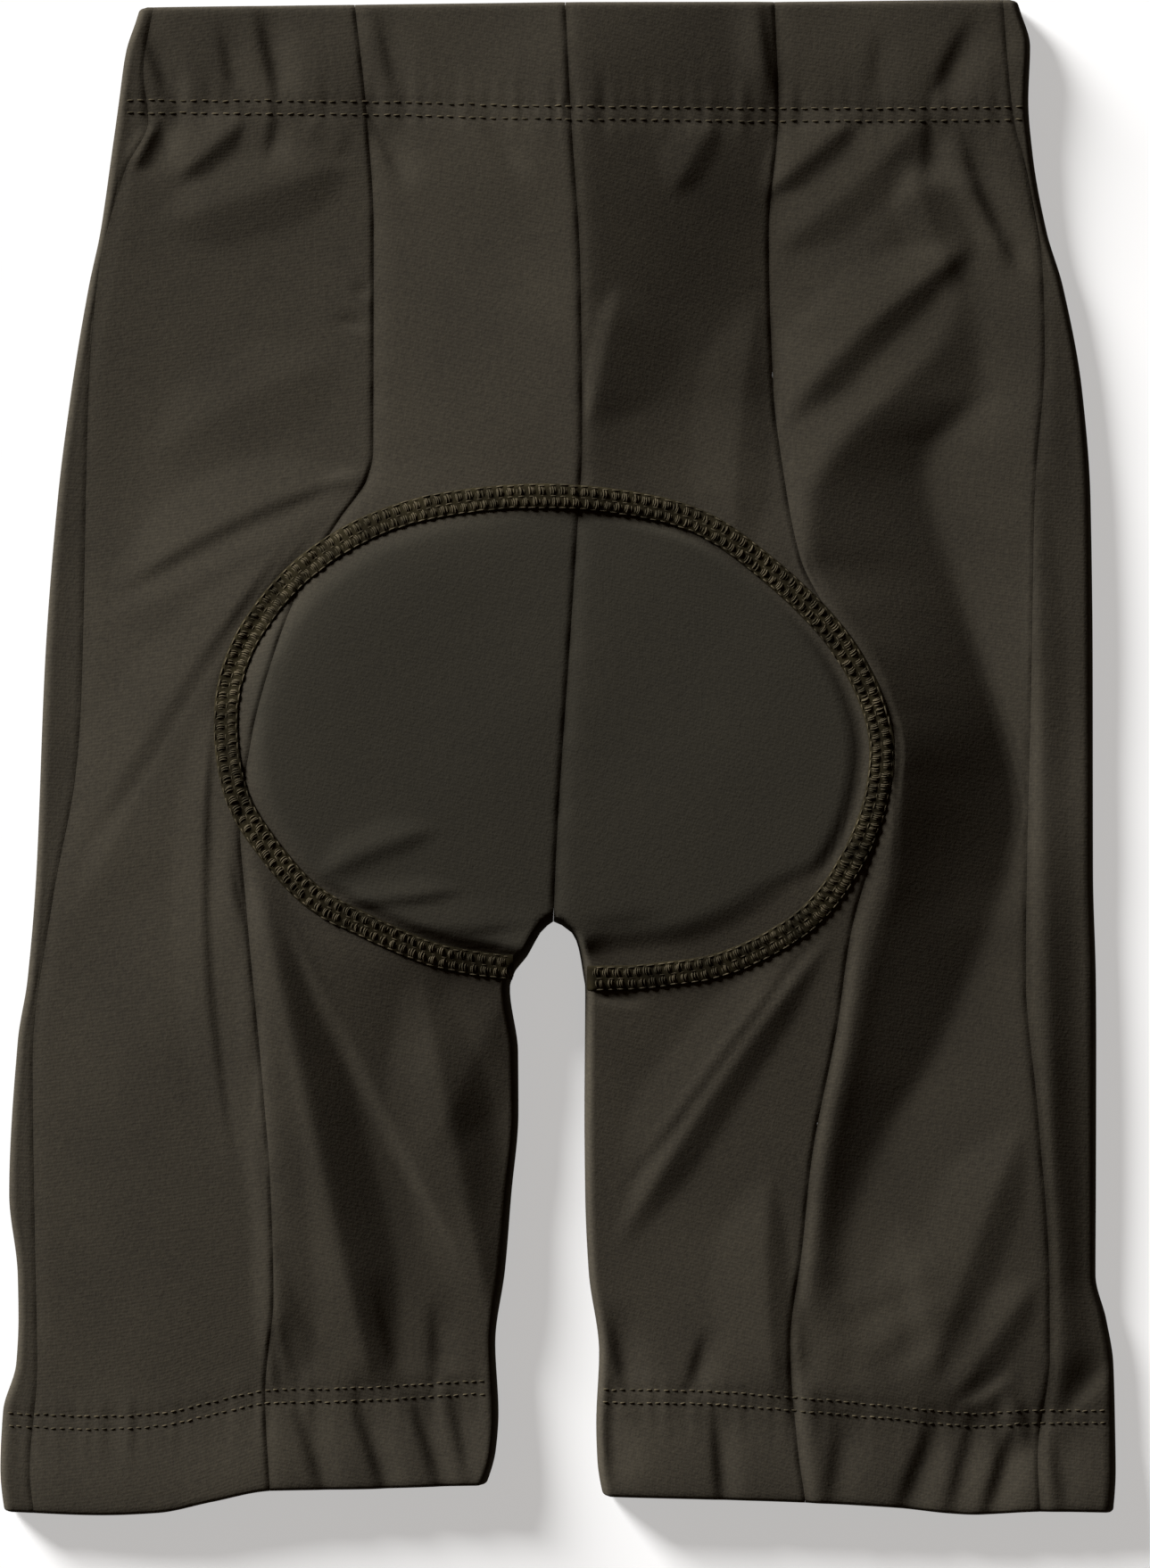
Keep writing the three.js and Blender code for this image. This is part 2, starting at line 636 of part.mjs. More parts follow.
// An outer front panel starts at its seam on the back, folds round the side and ends at its front seam.
function wrapColumns(backSeam, side, frontSeam, inward) {
  const overEdge = 4;
  const flat = 3;
  return (station) => {
    const edge = side(station);
    const above = roundFromEdge(Math.abs(backSeam(station) - edge) - SEAM_GAP / 2);
    const below = Math.abs(frontSeam(station) - edge) - SEAM_GAP / 2;
    const fold = NEAR_FOLD.slice(1);
    const top = Array.from({ length: overEdge + 1 }, (_, i) => ({
      x: edge + inward * inFromEdge(above * (1 - i / overEdge)),
      back: true,
    }));
    const rounded = fold.map((d) => ({ x: edge + inward * inFromEdge(d), back: false }));
    const reached = inFromEdge(fold.at(-1));
    const under = Array.from({ length: flat }, (_, i) => ({
      x: edge + inward * mix(reached, below, (i + 1) / flat),
      back: false,
    }));
    return [...top, ...rounded, ...under];
  };
}

// One panel: its wall, pinched at the turned waist and hem edges.
function panelGeometry(columns) {
  const last = STATIONS.length - 1;
  const layer = (depth, pinch) =>
    STATIONS.map((station, i) => {
      const turned = i === 0 || i === last ? pinch : 0;
      return columns(station).map(({ x, back }) => place(x, station, back, depth + turned));
    });
  return solidBetween(layer(0, EDGE_PINCH), layer(WALL, -EDGE_PINCH));
}

const BLACK_NYLON = { color: 0x2e2a27, roughness: 0.62, metalness: 0 };
const PANELS = {
  back_outer_left: outerBackColumns(sideLeft, backLeft, 6),
  back_inner_left: innerPanelColumns(backLeft, centreBack, leftInner, true, 1, 4),
  back_inner_right: innerPanelColumns(backRight, centreBack, rightInner, true, -1, 4),
  back_outer_right: outerBackColumns(backRight, sideRight, 6),
  front_outer_left: wrapColumns(sideLeft, leftSide, frontLeft, 1),
  front_inner_left: innerPanelColumns(frontLeft, frontCentre, leftInner, false, 1, 0),
  front_inner_right: innerPanelColumns(frontRight, frontCentre, rightInner, false, -1, 0),
  front_outer_right: wrapColumns(sideRight, rightSide, frontRight, -1),
};

// An elastic inside a turned edge: a flattened ring made from the panels' own columns, moved in.
function elasticGeometry(names, from, to, thickness) {
  const stations = STATIONS.filter((station) => station > from && station < to);
  const loop = (station) =>
    names.flatMap(([name, way]) => {
      const columns = PANELS[name](station);
      const ordered = way > 0 ? columns : columns.slice().reverse();
      return ordered.slice(0, -1);
    });
  const layer = (depth) =>
    stations.map((station) => loop(station).map(({ x, back }) => place(x, station, back, depth)));
  return solidBetween(layer(WALL + CLEAR), layer(WALL + CLEAR + thickness), true);
}

const WAIST_LOOP = [
  ["back_outer_left", 1],
  ["back_inner_left", 1],
  ["back_inner_right", -1],
  ["back_outer_right", 1],
  ["front_outer_right", 1],
  ["front_inner_right", 1],
  ["front_inner_left", -1],
  ["front_outer_left", -1],
];
const LEFT_HEM_LOOP = [
  ["back_outer_left", 1],
  ["back_inner_left", 1],
  ["front_inner_left", -1],
  ["front_outer_left", -1],
];
const RIGHT_HEM_LOOP = [
  ["back_inner_right", -1],
  ["back_outer_right", 1],
  ["front_outer_right", 1],
  ["front_inner_right", 1],
];

// Finds how high the panels lie at a place, from above or from below.
function probe(panels, x, y, fromAbove) {
  const way = fromAbove ? -1 : 1;
  const start = fromAbove ? 60 : WALL + 0.05;
  const ray = new THREE.Raycaster(new THREE.Vector3(x, y, start), new THREE.Vector3(0, 0, way));
  const hits = ray.intersectObjects(panels, false);
  return hits.length ? hits[0].point.z : null;
}

// The folded seat pad: one rounded solid between the front and the back panels.
function padGeometry(backPanels) {
  const rays = 44;
  const rings = [0.3, 0.55, 0.75, 0.9, 0.97, 1];
  const ringGap = 4.2; // the pad ends inside its seam
  const edgeGap = 6.5; // and this far from the fold at the crotch
  const outline = Array.from({ length: rays }, (_, k) => {
    const angle = mix(-Math.PI, Math.PI, k / rays);
    let far = padReach(angle) - ringGap;
    const at = (d) => ({
      x: PAD_CENTRE.x + d * Math.cos(angle),
      station: PAD_CENTRE.station + d * Math.sin(angle),
    });
    const clearOfFold = (d) => {
      const p = at(d);
      return nearestEdge(p.x, levelOf(p.x, p.station)).far > edgeGap;
    };
    for (let d = 30; d < far; d += 0.5) if (!clearOfFold(d)) far = d;
    return (share) => at(far * share);
  });
  const under = (x, y) => {
    const around = [0, 1, 2, 3, 4, 5].map((k) => [2.5 * Math.cos(k), 2.5 * Math.sin(k)]);
    const found = [[0, 0], ...around].map(([dx, dy]) => probe(backPanels, x + dx, y + dy, false));
    return Math.min(...found.filter((z) => z !== null && z > WALL + 1));
  };
  const floor = WALL + CLEAR;
  const points = [];
  const put = (p, z) => points.push(new THREE.Vector3(p.x, levelOf(p.x, p.station), z)) - 1;
  const topAt = (p) => under(p.x, levelOf(p.x, p.station)) - CLEAR - 0.15;
  const centreTop = put(PAD_CENTRE, topAt(PAD_CENTRE));
  const centreFloor = put(PAD_CENTRE, floor);
  const soften = { 1: 1.2, 0.97: 0.35 };
  const topOf = (ray, share) => put(ray(share), topAt(ray(share)) - (soften[share] ?? 0));
  const top = rings.map((share) => outline.map((ray) => topOf(ray, share)));
  const base = outline.map((ray) => put(ray(0.985), floor));
  const faces = [];
  for (let k = 0; k < rays; k++) {
    const next = (k + 1) % rays;
    faces.push(centreTop, top[0][k], top[0][next]);
    for (let i = 0; i < rings.length - 1; i++) {
      faces.push(top[i][k], top[i + 1][k], top[i + 1][next], top[i][k], top[i + 1][next], top[i][next]);
    }
    const rim = top.at(-1);
    faces.push(rim[k], base[k], base[next], rim[k], base[next], rim[next]);
    faces.push(centreFloor, base[next], base[k]);
  }
  return facingOut(points, faces);
}

// The pad's flat seam: a low band made from the panels' own surface, moved out.
function padSeamGeometry(backPanels) {
  const steps = 84;
  const across = [-1, 0, 1];
  const underside = [];
  const upperside = [];
  for (let i = 0; i <= steps; i++) {
    const middleOf = padSeam.getPointAt(i / steps);
    const along = padSeam.getTangentAt(i / steps);
    const side = new THREE.Vector3(-along.y, along.x, 0).normalize();
    const row = across.map((share) => {
      const at = middleOf.clone().addScaledVector(side, (share * SEAM_BAND.width) / 2);
      const y = levelOf(at.x, at.y);
      const around = [0, 1, 2, 3, 4, 5].map((k) => [2 * Math.cos(k), 2 * Math.sin(k)]);
      const found = [[0, 0], ...around].map(([dx, dy]) => probe(backPanels, at.x + dx, y + dy, true));
      const z = Math.max(...found.filter((h) => h !== null)) + CLEAR;
      return { x: at.x, y, z, thick: share === 0 ? SEAM_BAND.crown : SEAM_BAND.edge };
    });
    underside.push(row.map(({ x, y, z }) => new THREE.Vector3(x, y, z)));
    upperside.push(row.map(({ x, y, z, thick }) => new THREE.Vector3(x, y, z + thick)));
  }
  return solidBetween(upperside, underside);
}

function mesh(name, geometry, look) {
  const made = new THREE.Mesh(geometry, new THREE.MeshStandardMaterial(look));
  made.name = name;
  return made;
}

const trousers = new THREE.Group();
trousers.name = "cycling_trousers";

for (const [name, columns] of Object.entries(PANELS)) {
  trousers.add(mesh(name, panelGeometry(columns), BLACK_NYLON));
}
const backPanels = trousers.children.filter((piece) => piece.name.startsWith("back_"));

const ELASTIC = { color: 0x211f1d, roughness: 0.8, metalness: 0 };
const hemTop = HEM_STATION - HEM_HEIGHT - 1;
const hemEnd = HEM_STATION - 0.5;
trousers.add(mesh("waist_elastic", elasticGeometry(WAIST_LOOP, 0.5, WAIST_HEIGHT, WAIST_ELASTIC), ELASTIC));
const hemElastic = (loop) => elasticGeometry(loop, hemTop, hemEnd, HEM_ELASTIC);
trousers.add(mesh("hem_elastic_left", hemElastic(LEFT_HEM_LOOP), ELASTIC));
trousers.add(mesh("hem_elastic_right", hemElastic(RIGHT_HEM_LOOP), ELASTIC));
const PAD_KNIT = { color: 0x2b2a26, roughness: 0.9, metalness: 0 };
const SEAM_THREAD = { color: 0x262521, roughness: 0.7, metalness: 0 };
trousers.add(mesh("seat_pad", padGeometry(backPanels), PAD_KNIT));
trousers.add(mesh("pad_seam", padSeamGeometry(backPanels), SEAM_THREAD));

export default trousers;
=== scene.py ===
"""Short padded cycling trousers for a child, lying flat with the back uppermost.

The tables are in millimetres: x to the right across the back, and station down from the highest point
of the waist.
"""
import math

import bpy
import numpy as np
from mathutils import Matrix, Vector
from mathutils.kdtree import KDTree


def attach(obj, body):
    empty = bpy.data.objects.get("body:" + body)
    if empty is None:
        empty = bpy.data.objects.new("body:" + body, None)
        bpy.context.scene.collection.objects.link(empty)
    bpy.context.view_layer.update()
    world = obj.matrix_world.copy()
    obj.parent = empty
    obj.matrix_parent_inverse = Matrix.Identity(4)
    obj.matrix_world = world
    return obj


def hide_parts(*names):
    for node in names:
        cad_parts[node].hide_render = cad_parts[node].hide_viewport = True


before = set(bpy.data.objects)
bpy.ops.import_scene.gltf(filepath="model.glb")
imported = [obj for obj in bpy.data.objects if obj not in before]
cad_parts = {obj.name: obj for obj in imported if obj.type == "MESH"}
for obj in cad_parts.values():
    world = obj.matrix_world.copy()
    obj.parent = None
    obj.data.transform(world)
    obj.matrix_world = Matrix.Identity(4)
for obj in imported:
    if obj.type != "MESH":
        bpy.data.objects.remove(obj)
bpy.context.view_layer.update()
MM = 0.001

# sizes
LENGTH = 424.6  # waist to the lowest point of the hems
CLOTH = 0.6  # thickness of the knitted cloth
SEAM_GAP = 0.08  # between the rolled edges of two panels
FOLD_RADIUS = 2.2
CROTCH = 258.5
HEM_STATION = 420.0
HEM_HEIGHT = 29.5
WAIST_CASING = 2.5  # total thickness of the turned waist: cloth, elastic, cloth
HEM_CASING = 2.1
TURNED = 27.0  # how far the cloth is turned in
PAD_X, PAD_STATION = -4.5, 205.0
PAD_TOP = 12.8  # height of the seat over the folded pad

# station, left side, right side
SIDES = [
    (-6, -115.5, 126.5), (3, -118.1, 129.6), (13, -121.1, 132.4), (28, -123.1, 131.9),
    (43, -125.2, 133.1), (65, -128.4, 137.1), (80, -131.6, 141.6), (110, -136.6, 147.1),
    (140, -140.4, 149.4), (185, -143.9, 150.0), (245, -146.4, 150.1), (275, -148.9, 150.9),
    (292, -151.6, 151.0), (335, -154.0, 150.9), (357, -151.6, 150.8), (368, -151.4, 153.8),
    (379, -152.0, 155.8), (392, -155.7, 156.2), (408, -156.4, 156.4), (430, -153.6, 154.6),
]
# station, inner edge of the left leg, inner edge of the right leg
INNER_EDGES = [
    (258.5, -1.6, -1.0), (260.5, -4.2, 3.0), (264, -6.4, 5.2), (268, -8.6, 6.2), (273, -12.4, 7.0),
    (277, -13.5, 7.6), (295, -11.2, 7.5), (312, -11.1, 7.4), (335, -13.1, 7.6), (357, -14.9, 8.6),
    (380, -17.6, 11.5), (400, -16.7, 10.7), (410, -17.4, 11.0), (430, -24.0, 15.0),
]
# station, x of the seam
CENTRE_BACK = [(0, 2.0), (32, 3.5), (77, 6.2), (125, 6.7), (145, 5.6), (180, 3.3), (240, -0.6), (258.5, -1.3)]
BACK_LEFT = [
    (0, -56.9), (32, -53.6), (65, -51.6), (127, -51.7), (134, -53.2), (146, -61.2), (160, -69.9),
    (182, -78.8), (207, -85.6), (232, -88.8), (253, -87.2), (303, -82.6), (335, -80.3), (364, -79.6),
    (393, -82.0), (420, -80.6),
]
BACK_RIGHT = [
    (0, 60.6), (31, 61.7), (66, 59.0), (110, 60.3), (132, 62.9), (156, 67.4), (171, 74.8), (190, 87.2),
    (211, 93.4), (230, 90.3), (262, 81.6), (287, 78.0), (325, 70.8), (350, 68.2), (376, 64.9),
    (404, 66.9), (420, 69.2),
]
SIDE_LEFT = [
    (0, -113.4), (20, -116.2), (34, -114.8), (48, -121.4), (78, -129.0), (110, -131.6), (198, -133.7),
    (217, -135.2), (252, -141.6), (297, -147.3), (350, -146.6), (379, -146.0), (408, -148.0),
    (420, -146.8),
]
SIDE_RIGHT = [
    (0, 124.4), (32, 127.3), (50, 131.6), (79, 135.9), (99, 136.3), (140, 133.4), (193, 132.5),
    (275, 130.9), (310, 134.0), (360, 137.5), (377, 137.6), (405, 134.2), (420, 134.9),
]
# station, front left seam, centre front seam, front right seam
FRONT_SEAMS = [
    (0, -60, 2.2, 63), (130, -56, 2.0, 60), (200, -62, 0.6, 65), (260, -73, -1.3, 74),
    (340, -77, -1.3, 72), (420, -80, -1.3, 69),
]
# x, how far down the hem edge lies
HEM_EDGE = [
    (-157, 423.6), (-128, 424.6), (-112, 423.9), (-97, 420.8), (-80, 417.6), (-55, 417.2), (-20, 416.2),
    (-2, 418.0), (14, 419.3), (40, 420.0), (66, 420.8), (92, 422.2), (117, 424.4), (135, 423.6),
    (157, 424.0),
]
# station, height of the smooth back
LOFT = [(-6, 5.8), (14, 5.7), (40, 4.9), (75, 4.2), (382, 4.2), (393, 4.5), (418, 6.0), (430, 6.0)]

# The folds of the cloth, each from its upper end to its lower one. A fold stands highest on its line
# and slopes off evenly to its width on the left side and on the right, widening or narrowing down its
# length by its flare.
# x, station, x, station, bow to the left, rise, left, right, flare
FOLDS = [
    # upper right: slanting folds that hang from the waist, down to the right back seam
    (86, 31, 56, 56, 0, 0.65, 9, 5, 0), (104, 31, 58, 72, -2, 0.55, 10, 8, 0),
    (106, 44, 63, 98, -2, 0.35, 14, 14, 0), (118, 68, 60, 122, 4, 1.0, 14, 7, 0.3),
    (18, 78, 8, 122, 0, 0.5, 4, 18, -0.5), (45, 32, 31, 56, 0, 0.4, 8, 5, 0),
    (57, 80, 50, 162, 3, 0.5, 12, 9, 0), (133, 112, 139, 340, 0, 0.4, 4, 7, 0),
    (108, 46, 126, 78, -3, 0.5, 5, 7, 0), (97, 44, 112, 82, 0, 0.8, 8, 9, 0),
    # upper left
    (-112, 34, -119.5, 48, 0, 0.45, 4, 4, 0), (-87, 33, -108, 51, 0, 0.7, 10, 4.5, 0),
    (-72, 33, -59, 45, 0, 0.4, 3.5, 6, 0), (-56, 45, -114, 64, 0, 0.5, 10, 11, 0),
    (-58, 100, -116, 130, 3, 0.35, 12, 14, 0), (-55, 133.5, -126, 168, 4.6, 0.55, 13, 3.6, 0),
    (-60, 139, -131, 175, -3.3, 0.3, 8, 12, 0), (-74, 150, -135, 240, 2.5, 0.5, 13, 4, 1),
    (-84, 168, -138, 262, 1, 0.3, 6, 16, 0.5),
    # left leg: folds that fan out below the pad
    (-95, 190, -89, 333, 7, 0.4, 8, 1.8, 0), (-93, 222, -83.5, 345, 0, 0.45, 7, 5, -0.2),
    (-87, 232, -48, 408, 0, 2.1, 14, 13, 0.3), (-82.5, 280, -76, 412, 0, 0.8, 6, 9, 0.3),
    (-79, 250, -24, 358, 0, 1.0, 4, 22, 0), (-4, 252, -38, 326, -1, 0.6, 14, 12, 0.2),
    (-39, 270, -17, 380, 0, 1.3, 14, 11, -0.2),
    # right leg
    (72, 261, 17, 334, 1.4, 0.6, 10, 3, 0.5), (79, 259, 15, 352, 2.8, 0.85, 6, 7, 0.4),
    (59.5, 326, 62.5, 400, 2.5, 0.65, 14, 5.5, 0), (131, 312, 102, 386, 0, 0.7, 14, 8, 0),
    (135, 356, 108, 390, 0, 0.6, 8, 6, 0), (96, 340, 112, 400, 0, 0.5, 12, 12, 0),
    # over the pad
    (-32, 232, -69, 247, 2, 0.4, 6, 4, 0), (-24, 249.5, -66, 254, 0, 0.4, 5, 1.6, 0),
    (-64, 256, -3, 257.5, 3, 0.3, 2.4, 8, 0),
]
# Narrow soft creases: x, station, x, station, width, rise, bow. They may cross the stitching.
CREASES = [
    # turned waist
    (54, -8, 59.5, 34, 2.2, 0.8, 0), (-117, 2, -106, 33, 2.2, -0.9, 0), (-95, 2, -88, 33, 2.0, -0.6, 0),
    (-84, -4, -76, 33, 2.2, -1.0, 0), (-51, -4, -43, 32, 2.2, -0.6, 0), (119, 2, 103, 33, 2.4, -0.8, 0),
    (91, 4, 88, 32, 2.2, -0.3, 0),
    # under the waist's stitching
    (-106, 28, -118, 52, 2.0, -0.5, 0), (-77, 28, -81, 48, 1.8, -0.5, 0),
    (-75, 30, -58, 48, 1.8, -0.5, 0), (-56, 28, -41, 55, 2.2, -0.7, -1), (-26, 28, -8, 52, 2.2, -0.5, 0),
    (-58, 82.5, -52, 82.5, 1.0, -0.3, 0), (-64, 91, -52, 91.5, 1.0, -0.35, 0),
    (105.5, 28, 104, 54, 2.2, -0.8, 0), (112, 28, 134, 80, 2.2, -1.1, 3),
    (-67, 134.5, -53, 134.2, 1.4, 0.5, 0), (-59, 142, -99, 208, 1.6, -0.6, 5),
    (36, 258, 3, 262, 3.0, -0.4, 0),
    # under the pad's seam
    (5, 278.4, 26, 280.6, 1.1, -0.6, 0), (-92, 238, -85, 264, 1.5, -0.5, 0),
    # left hem
    (-80, 362, -69, 396, 2.2, -0.5, 0), (-51, 354, -43, 396, 2.2, -0.4, 0),
    (-34, 362, -33, 396, 2.2, -0.6, 0), (-79, 368, -77, 400, 1.8, -0.7, 0),
    (-75, 388, -62, 428, 2.2, -0.9, 0), (-59, 386, -44, 430, 2.2, -1.1, 0),
    (-43, 386, -29, 428, 2.2, -1.1, 0), (-31, 386, -23, 424, 2.0, -0.8, 0),
    # right hem
    (15, 364, 21, 396, 2.4, -0.9, 0), (43, 370, 36, 394, 1.8, -0.6, 0), (13, 388, 17, 420, 2.6, -0.8, 0),
    (44, 390, 47, 428, 1.8, -0.8, 0), (68.5, 352, 70.5, 394, 2.4, -0.9, 0),
    (109, 388, 94, 428, 2.4, -1.0, 0), (82, 390, 75, 426, 2.2, -0.5, 0),
    (118, 388, 109, 426, 2.2, -0.8, 0), (131, 388, 118, 428, 2.2, -1.0, 0),
    (138, 392, 143, 424, 2.0, -0.6, 0), (136, 398, 156, 375, 2.4, -0.8, 0),
    (125, 384, 132, 404, 2.0, 0.9, 0), (110, 392, 130, 381, 1.5, 0.6, 0),
]
# How far the back stands above its smooth height along each line, by station: the left side seam, the
# left back seam, the centre seam (below the crotch, the left leg's inner edge), the right leg's inner
# edge, the right back seam, the ridge of the right thigh, the line that the thigh sinks to, and the
# right side seam.
SECTIONS = [
    (-6, 0.0, 1.2, 2.8, 2.8, -0.3, 0.2, 0.2, 0.2), (28, 0.1, 2.4, 5.0, 5.0, 0.0, -0.1, 0.0, 0.1),
    (40, 0.2, 2.7, 6.2, 6.2, 0.2, -0.3, -0.2, 0.1), (65, 0.2, 3.0, 7.3, 7.3, 0.3, -0.5, -0.3, 0.2),
    (85, 0.2, 3.2, 7.8, 7.8, 0.1, 0.2, -0.3, 0.4), (110, 0.2, 3.6, 8.2, 8.2, 0.8, 1.5, -0.9, 0.6),
    (125, 0.2, 4.1, 8.4, 8.4, 2.3, 3.0, -1.2, 0.7), (140, 0.2, 5.0, 8.4, 8.4, 4.3, 4.8, -1.4, 0.7),
    (157, 0.2, 5.9, 8.4, 8.4, 6.3, 6.8, -1.6, 0.5), (180, 0.2, 6.3, 8.0, 8.0, 7.2, 7.8, -1.9, 0.2),
    (215, 0.2, 6.3, 7.8, 7.8, 7.4, 8.2, -2.0, -0.9), (245, 0.2, 6.1, 7.6, 7.6, 7.2, 7.6, -0.2, 0.4),
    (262, 0.2, 5.9, 6.6, 6.8, 6.8, 7.0, 1.4, 1.6), (280, 0.2, 5.3, 4.2, 5.2, 6.1, 6.3, 1.7, 2.3),
    (300, 0.2, 4.6, 2.8, 4.0, 5.3, 5.6, 1.9, 2.6), (320, 0.2, 4.0, 2.2, 3.2, 4.5, 4.8, 2.2, 2.6),
    (350, 0.2, 3.2, 1.7, 2.4, 3.5, 3.8, 2.4, 2.3), (385, 0.2, 2.8, 1.9, 2.2, 3.4, 3.7, 3.0, 2.0),
    (400, 0.1, 2.3, 1.6, 1.8, 2.4, 2.7, 2.2, 1.0), (430, 0.0, 1.6, 1.3, 1.4, 1.6, 1.8, 1.6, 0.6),
]
# station, x of the ridge of the right thigh
THIGH_RIDGE = [
    (0, 90), (60, 104), (85, 112), (95, 108), (110, 94), (122, 81), (140, 70.5), (157, 69), (172, 78),
    (185, 86.4), (200, 91.6), (217, 93.4), (245, 92.6), (262, 88.4), (280, 84.2), (300, 80), (320, 75.4),
    (350, 71.4), (430, 73),
]
# station, x of the line that the right thigh sinks to
LOW_LINE = [
    (0, 96), (60, 112), (85, 116), (100, 118), (110, 118), (117.5, 112.4), (125, 105), (133, 103),
    (140, 104), (160, 110.6), (185, 118.6), (207, 125.6), (227, 130), (240, 127.6), (262, 120),
    (287, 109.5), (300, 103), (312, 95), (325, 88), (335, 84), (350, 80), (430, 80),
]
# x and station of the middle of the pad's flat seam, from the left leg's inner edge round to the right
# leg's.
PAD_SEAM = [
    (-17.5, 270.6), (-34, 267.6), (-52, 260.2), (-69, 250.8), (-82, 236.2), (-89.6, 223), (-92.6, 206),
    (-91, 189.6), (-83.6, 174), (-69.6, 158.6), (-50, 147), (-26, 141), (4, 139.8), (36, 145.4),
    (58, 159.4), (78, 179.4), (88.6, 200), (89.8, 218), (83.6, 238), (70, 257), (48, 269.4), (26, 273.4),
    (12.5, 274),
]

rng = np.random.default_rng(8)


def smooth(t):
    t = np.clip(t, 0, 1)
    return t * t * (3 - 2 * t)


def length_along(points):
    """How far along a line each of its points is."""
    return np.concatenate([[0], np.cumsum(np.linalg.norm(np.diff(points, axis=0), axis=1))])


def curve(table, column=1):
    """A smooth curve through one column of a table, as a function of its first column."""
    at = np.array([row[0] for row in table], float)
    value = np.array([row[column] for row in table], float)
    step = np.diff(value) / np.diff(at)
    before, after = step[:-1], step[1:]
    same = before * after > 0
    inside = np.where(same, 2 * before * after / np.where(same, before + after, 1), 0)
    slope = np.concatenate([step[:1], inside, step[-1:]])

    def read(place):
        place = np.clip(np.asarray(place, float), at[0], at[-1])
        i = np.clip(np.searchsorted(at, place, side="right") - 1, 0, len(at) - 2)
        span = at[i + 1] - at[i]
        t = (place - at[i]) / span
        start = value[i] * (1 + 2 * t) + slope[i] * span * t
        end = value[i + 1] * (3 - 2 * t) - slope[i + 1] * span * (1 - t)
        return start * (1 - t) ** 2 + end * t ** 2

    return read


left_side, right_side = curve(SIDES, 1), curve(SIDES, 2)
left_inner, right_inner = curve(INNER_EDGES, 1), curve(INNER_EDGES, 2)
centre_back, back_left, back_right = curve(CENTRE_BACK), curve(BACK_LEFT), curve(BACK_RIGHT)
side_left, side_right = curve(SIDE_LEFT), curve(SIDE_RIGHT)
front_left, front_centre, front_right = curve(FRONT_SEAMS, 1), curve(FRONT_SEAMS, 2), curve(FRONT_SEAMS, 3)
hem_edge, loft = curve(HEM_EDGE), curve(LOFT)
thigh_ridge, low_line = curve(THIGH_RIDGE), curve(LOW_LINE)
section_heights = [curve(SECTIONS, column) for column in range(1, 9)]


def level(x, station):
    """Where a station lies along Y."""
    hem = smooth((station - 345) / (HEM_STATION - HEM_HEIGHT - 345))
    across = np.clip((x - left_side(0)) / (right_side(0) - left_side(0)), 0, 1)
    down = station + (hem_edge(x) - HEM_STATION) * hem + 2.2 * (1 - across) * (1 - smooth(station / 29))
    return LENGTH / 2 - down


def gap_outline():
    """The inner edges of the legs as one line in plan, up from the left hem and down to the right one."""
    far = CROTCH + (430 - CROTCH) * np.linspace(0, 1, 900) ** 2
    x = np.concatenate([left_inner(far)[::-1], right_inner(far)])
    station = np.concatenate([far[::-1], far])
    return np.column_stack([x, level(x, station)])


def folded_edges():
    """Points along all the folded edges, and the level direction from each into the cloth."""
    points, inward = [], []
    stations = np.linspace(-6, 430, 1800)
    for line, turn in (
        (np.column_stack([left_side(stations), level(left_side(stations), stations)]), 1),
        (np.column_stack([right_side(stations), level(right_side(stations), stations)]), -1),
        (gap_outline(), 1),
    ):
        along = np.gradient(line, axis=0)
        along /= np.maximum(1e-9, np.linalg.norm(along, axis=1))[:, None]
        points.append(line)
        inward.append(np.column_stack([-along[:, 1], along[:, 0]]) * turn)
    return np.concatenate(points), np.concatenate(inward)


EDGE_POINTS, EDGE_INWARD = folded_edges()
EDGE_TREE = KDTree(len(EDGE_POINTS))
for index, (edge_x, edge_y) in enumerate(EDGE_POINTS):
    EDGE_TREE.insert((edge_x, edge_y, 0), index)
EDGE_TREE.balance()


def nearest_edge(x, station, y):
    """How far each place is from the nearest folded edge, and which way is in from there."""
    x, station, y = (np.asarray(a, float).ravel() for a in (x, station, y))
    far = np.full(x.shape, 99.0)
    inward = np.zeros((len(x), 2))
    reach = FOLD_RADIUS + 3
    close = (x < left_side(station) + reach) | (x > right_side(station) - reach)
    below = station > CROTCH - reach
    close |= below & (x > left_inner(station) - reach) & (x < right_inner(station) + reach)
    for i in np.flatnonzero(close):
        _, nearest, _ = EDGE_TREE.find((x[i], y[i], 0))
        offset = np.array([x[i], y[i]]) - EDGE_POINTS[nearest]
        far[i] = abs(offset @ EDGE_INWARD[nearest])
        if abs(offset @ np.array([-EDGE_INWARD[nearest][1], EDGE_INWARD[nearest][0]])) > 0.4:
            far[i] = math.hypot(*offset)
        inward[i] = EDGE_INWARD[nearest]
    return far, inward


def along_and_across(x0, s0, x1, s1, bow, x, station):
    """How far along a line each place is, and how far to the left of it."""
    long = math.hypot(x1 - x0, s1 - s0)
    t = ((x - x0) * (x1 - x0) + (station - s0) * (s1 - s0)) / long ** 2
    across = ((station - s0) * (x1 - x0) - (x - x0) * (s1 - s0)) / long
    return t, across - bow * 4 * t * (1 - t)


WINDOW_SIDE = 2.4  # how much wider a crease is on the side that faces the window than on its other side


def crease_rise(crease, x, station):
    """How high one soft crease stands at each place."""
    x0, s0, x1, s1, width, rise, bow = crease
    t, across = along_and_across(x0, s0, x1, s1, bow, x, station)
    gentle = across > 0 if rise > 0 else across < 0
    off = across / np.where(gentle, WINDOW_SIDE * width, width)
    return rise * np.exp(-(off ** 2)) * smooth(t / 0.5) * smooth((1 - t) / 0.4)


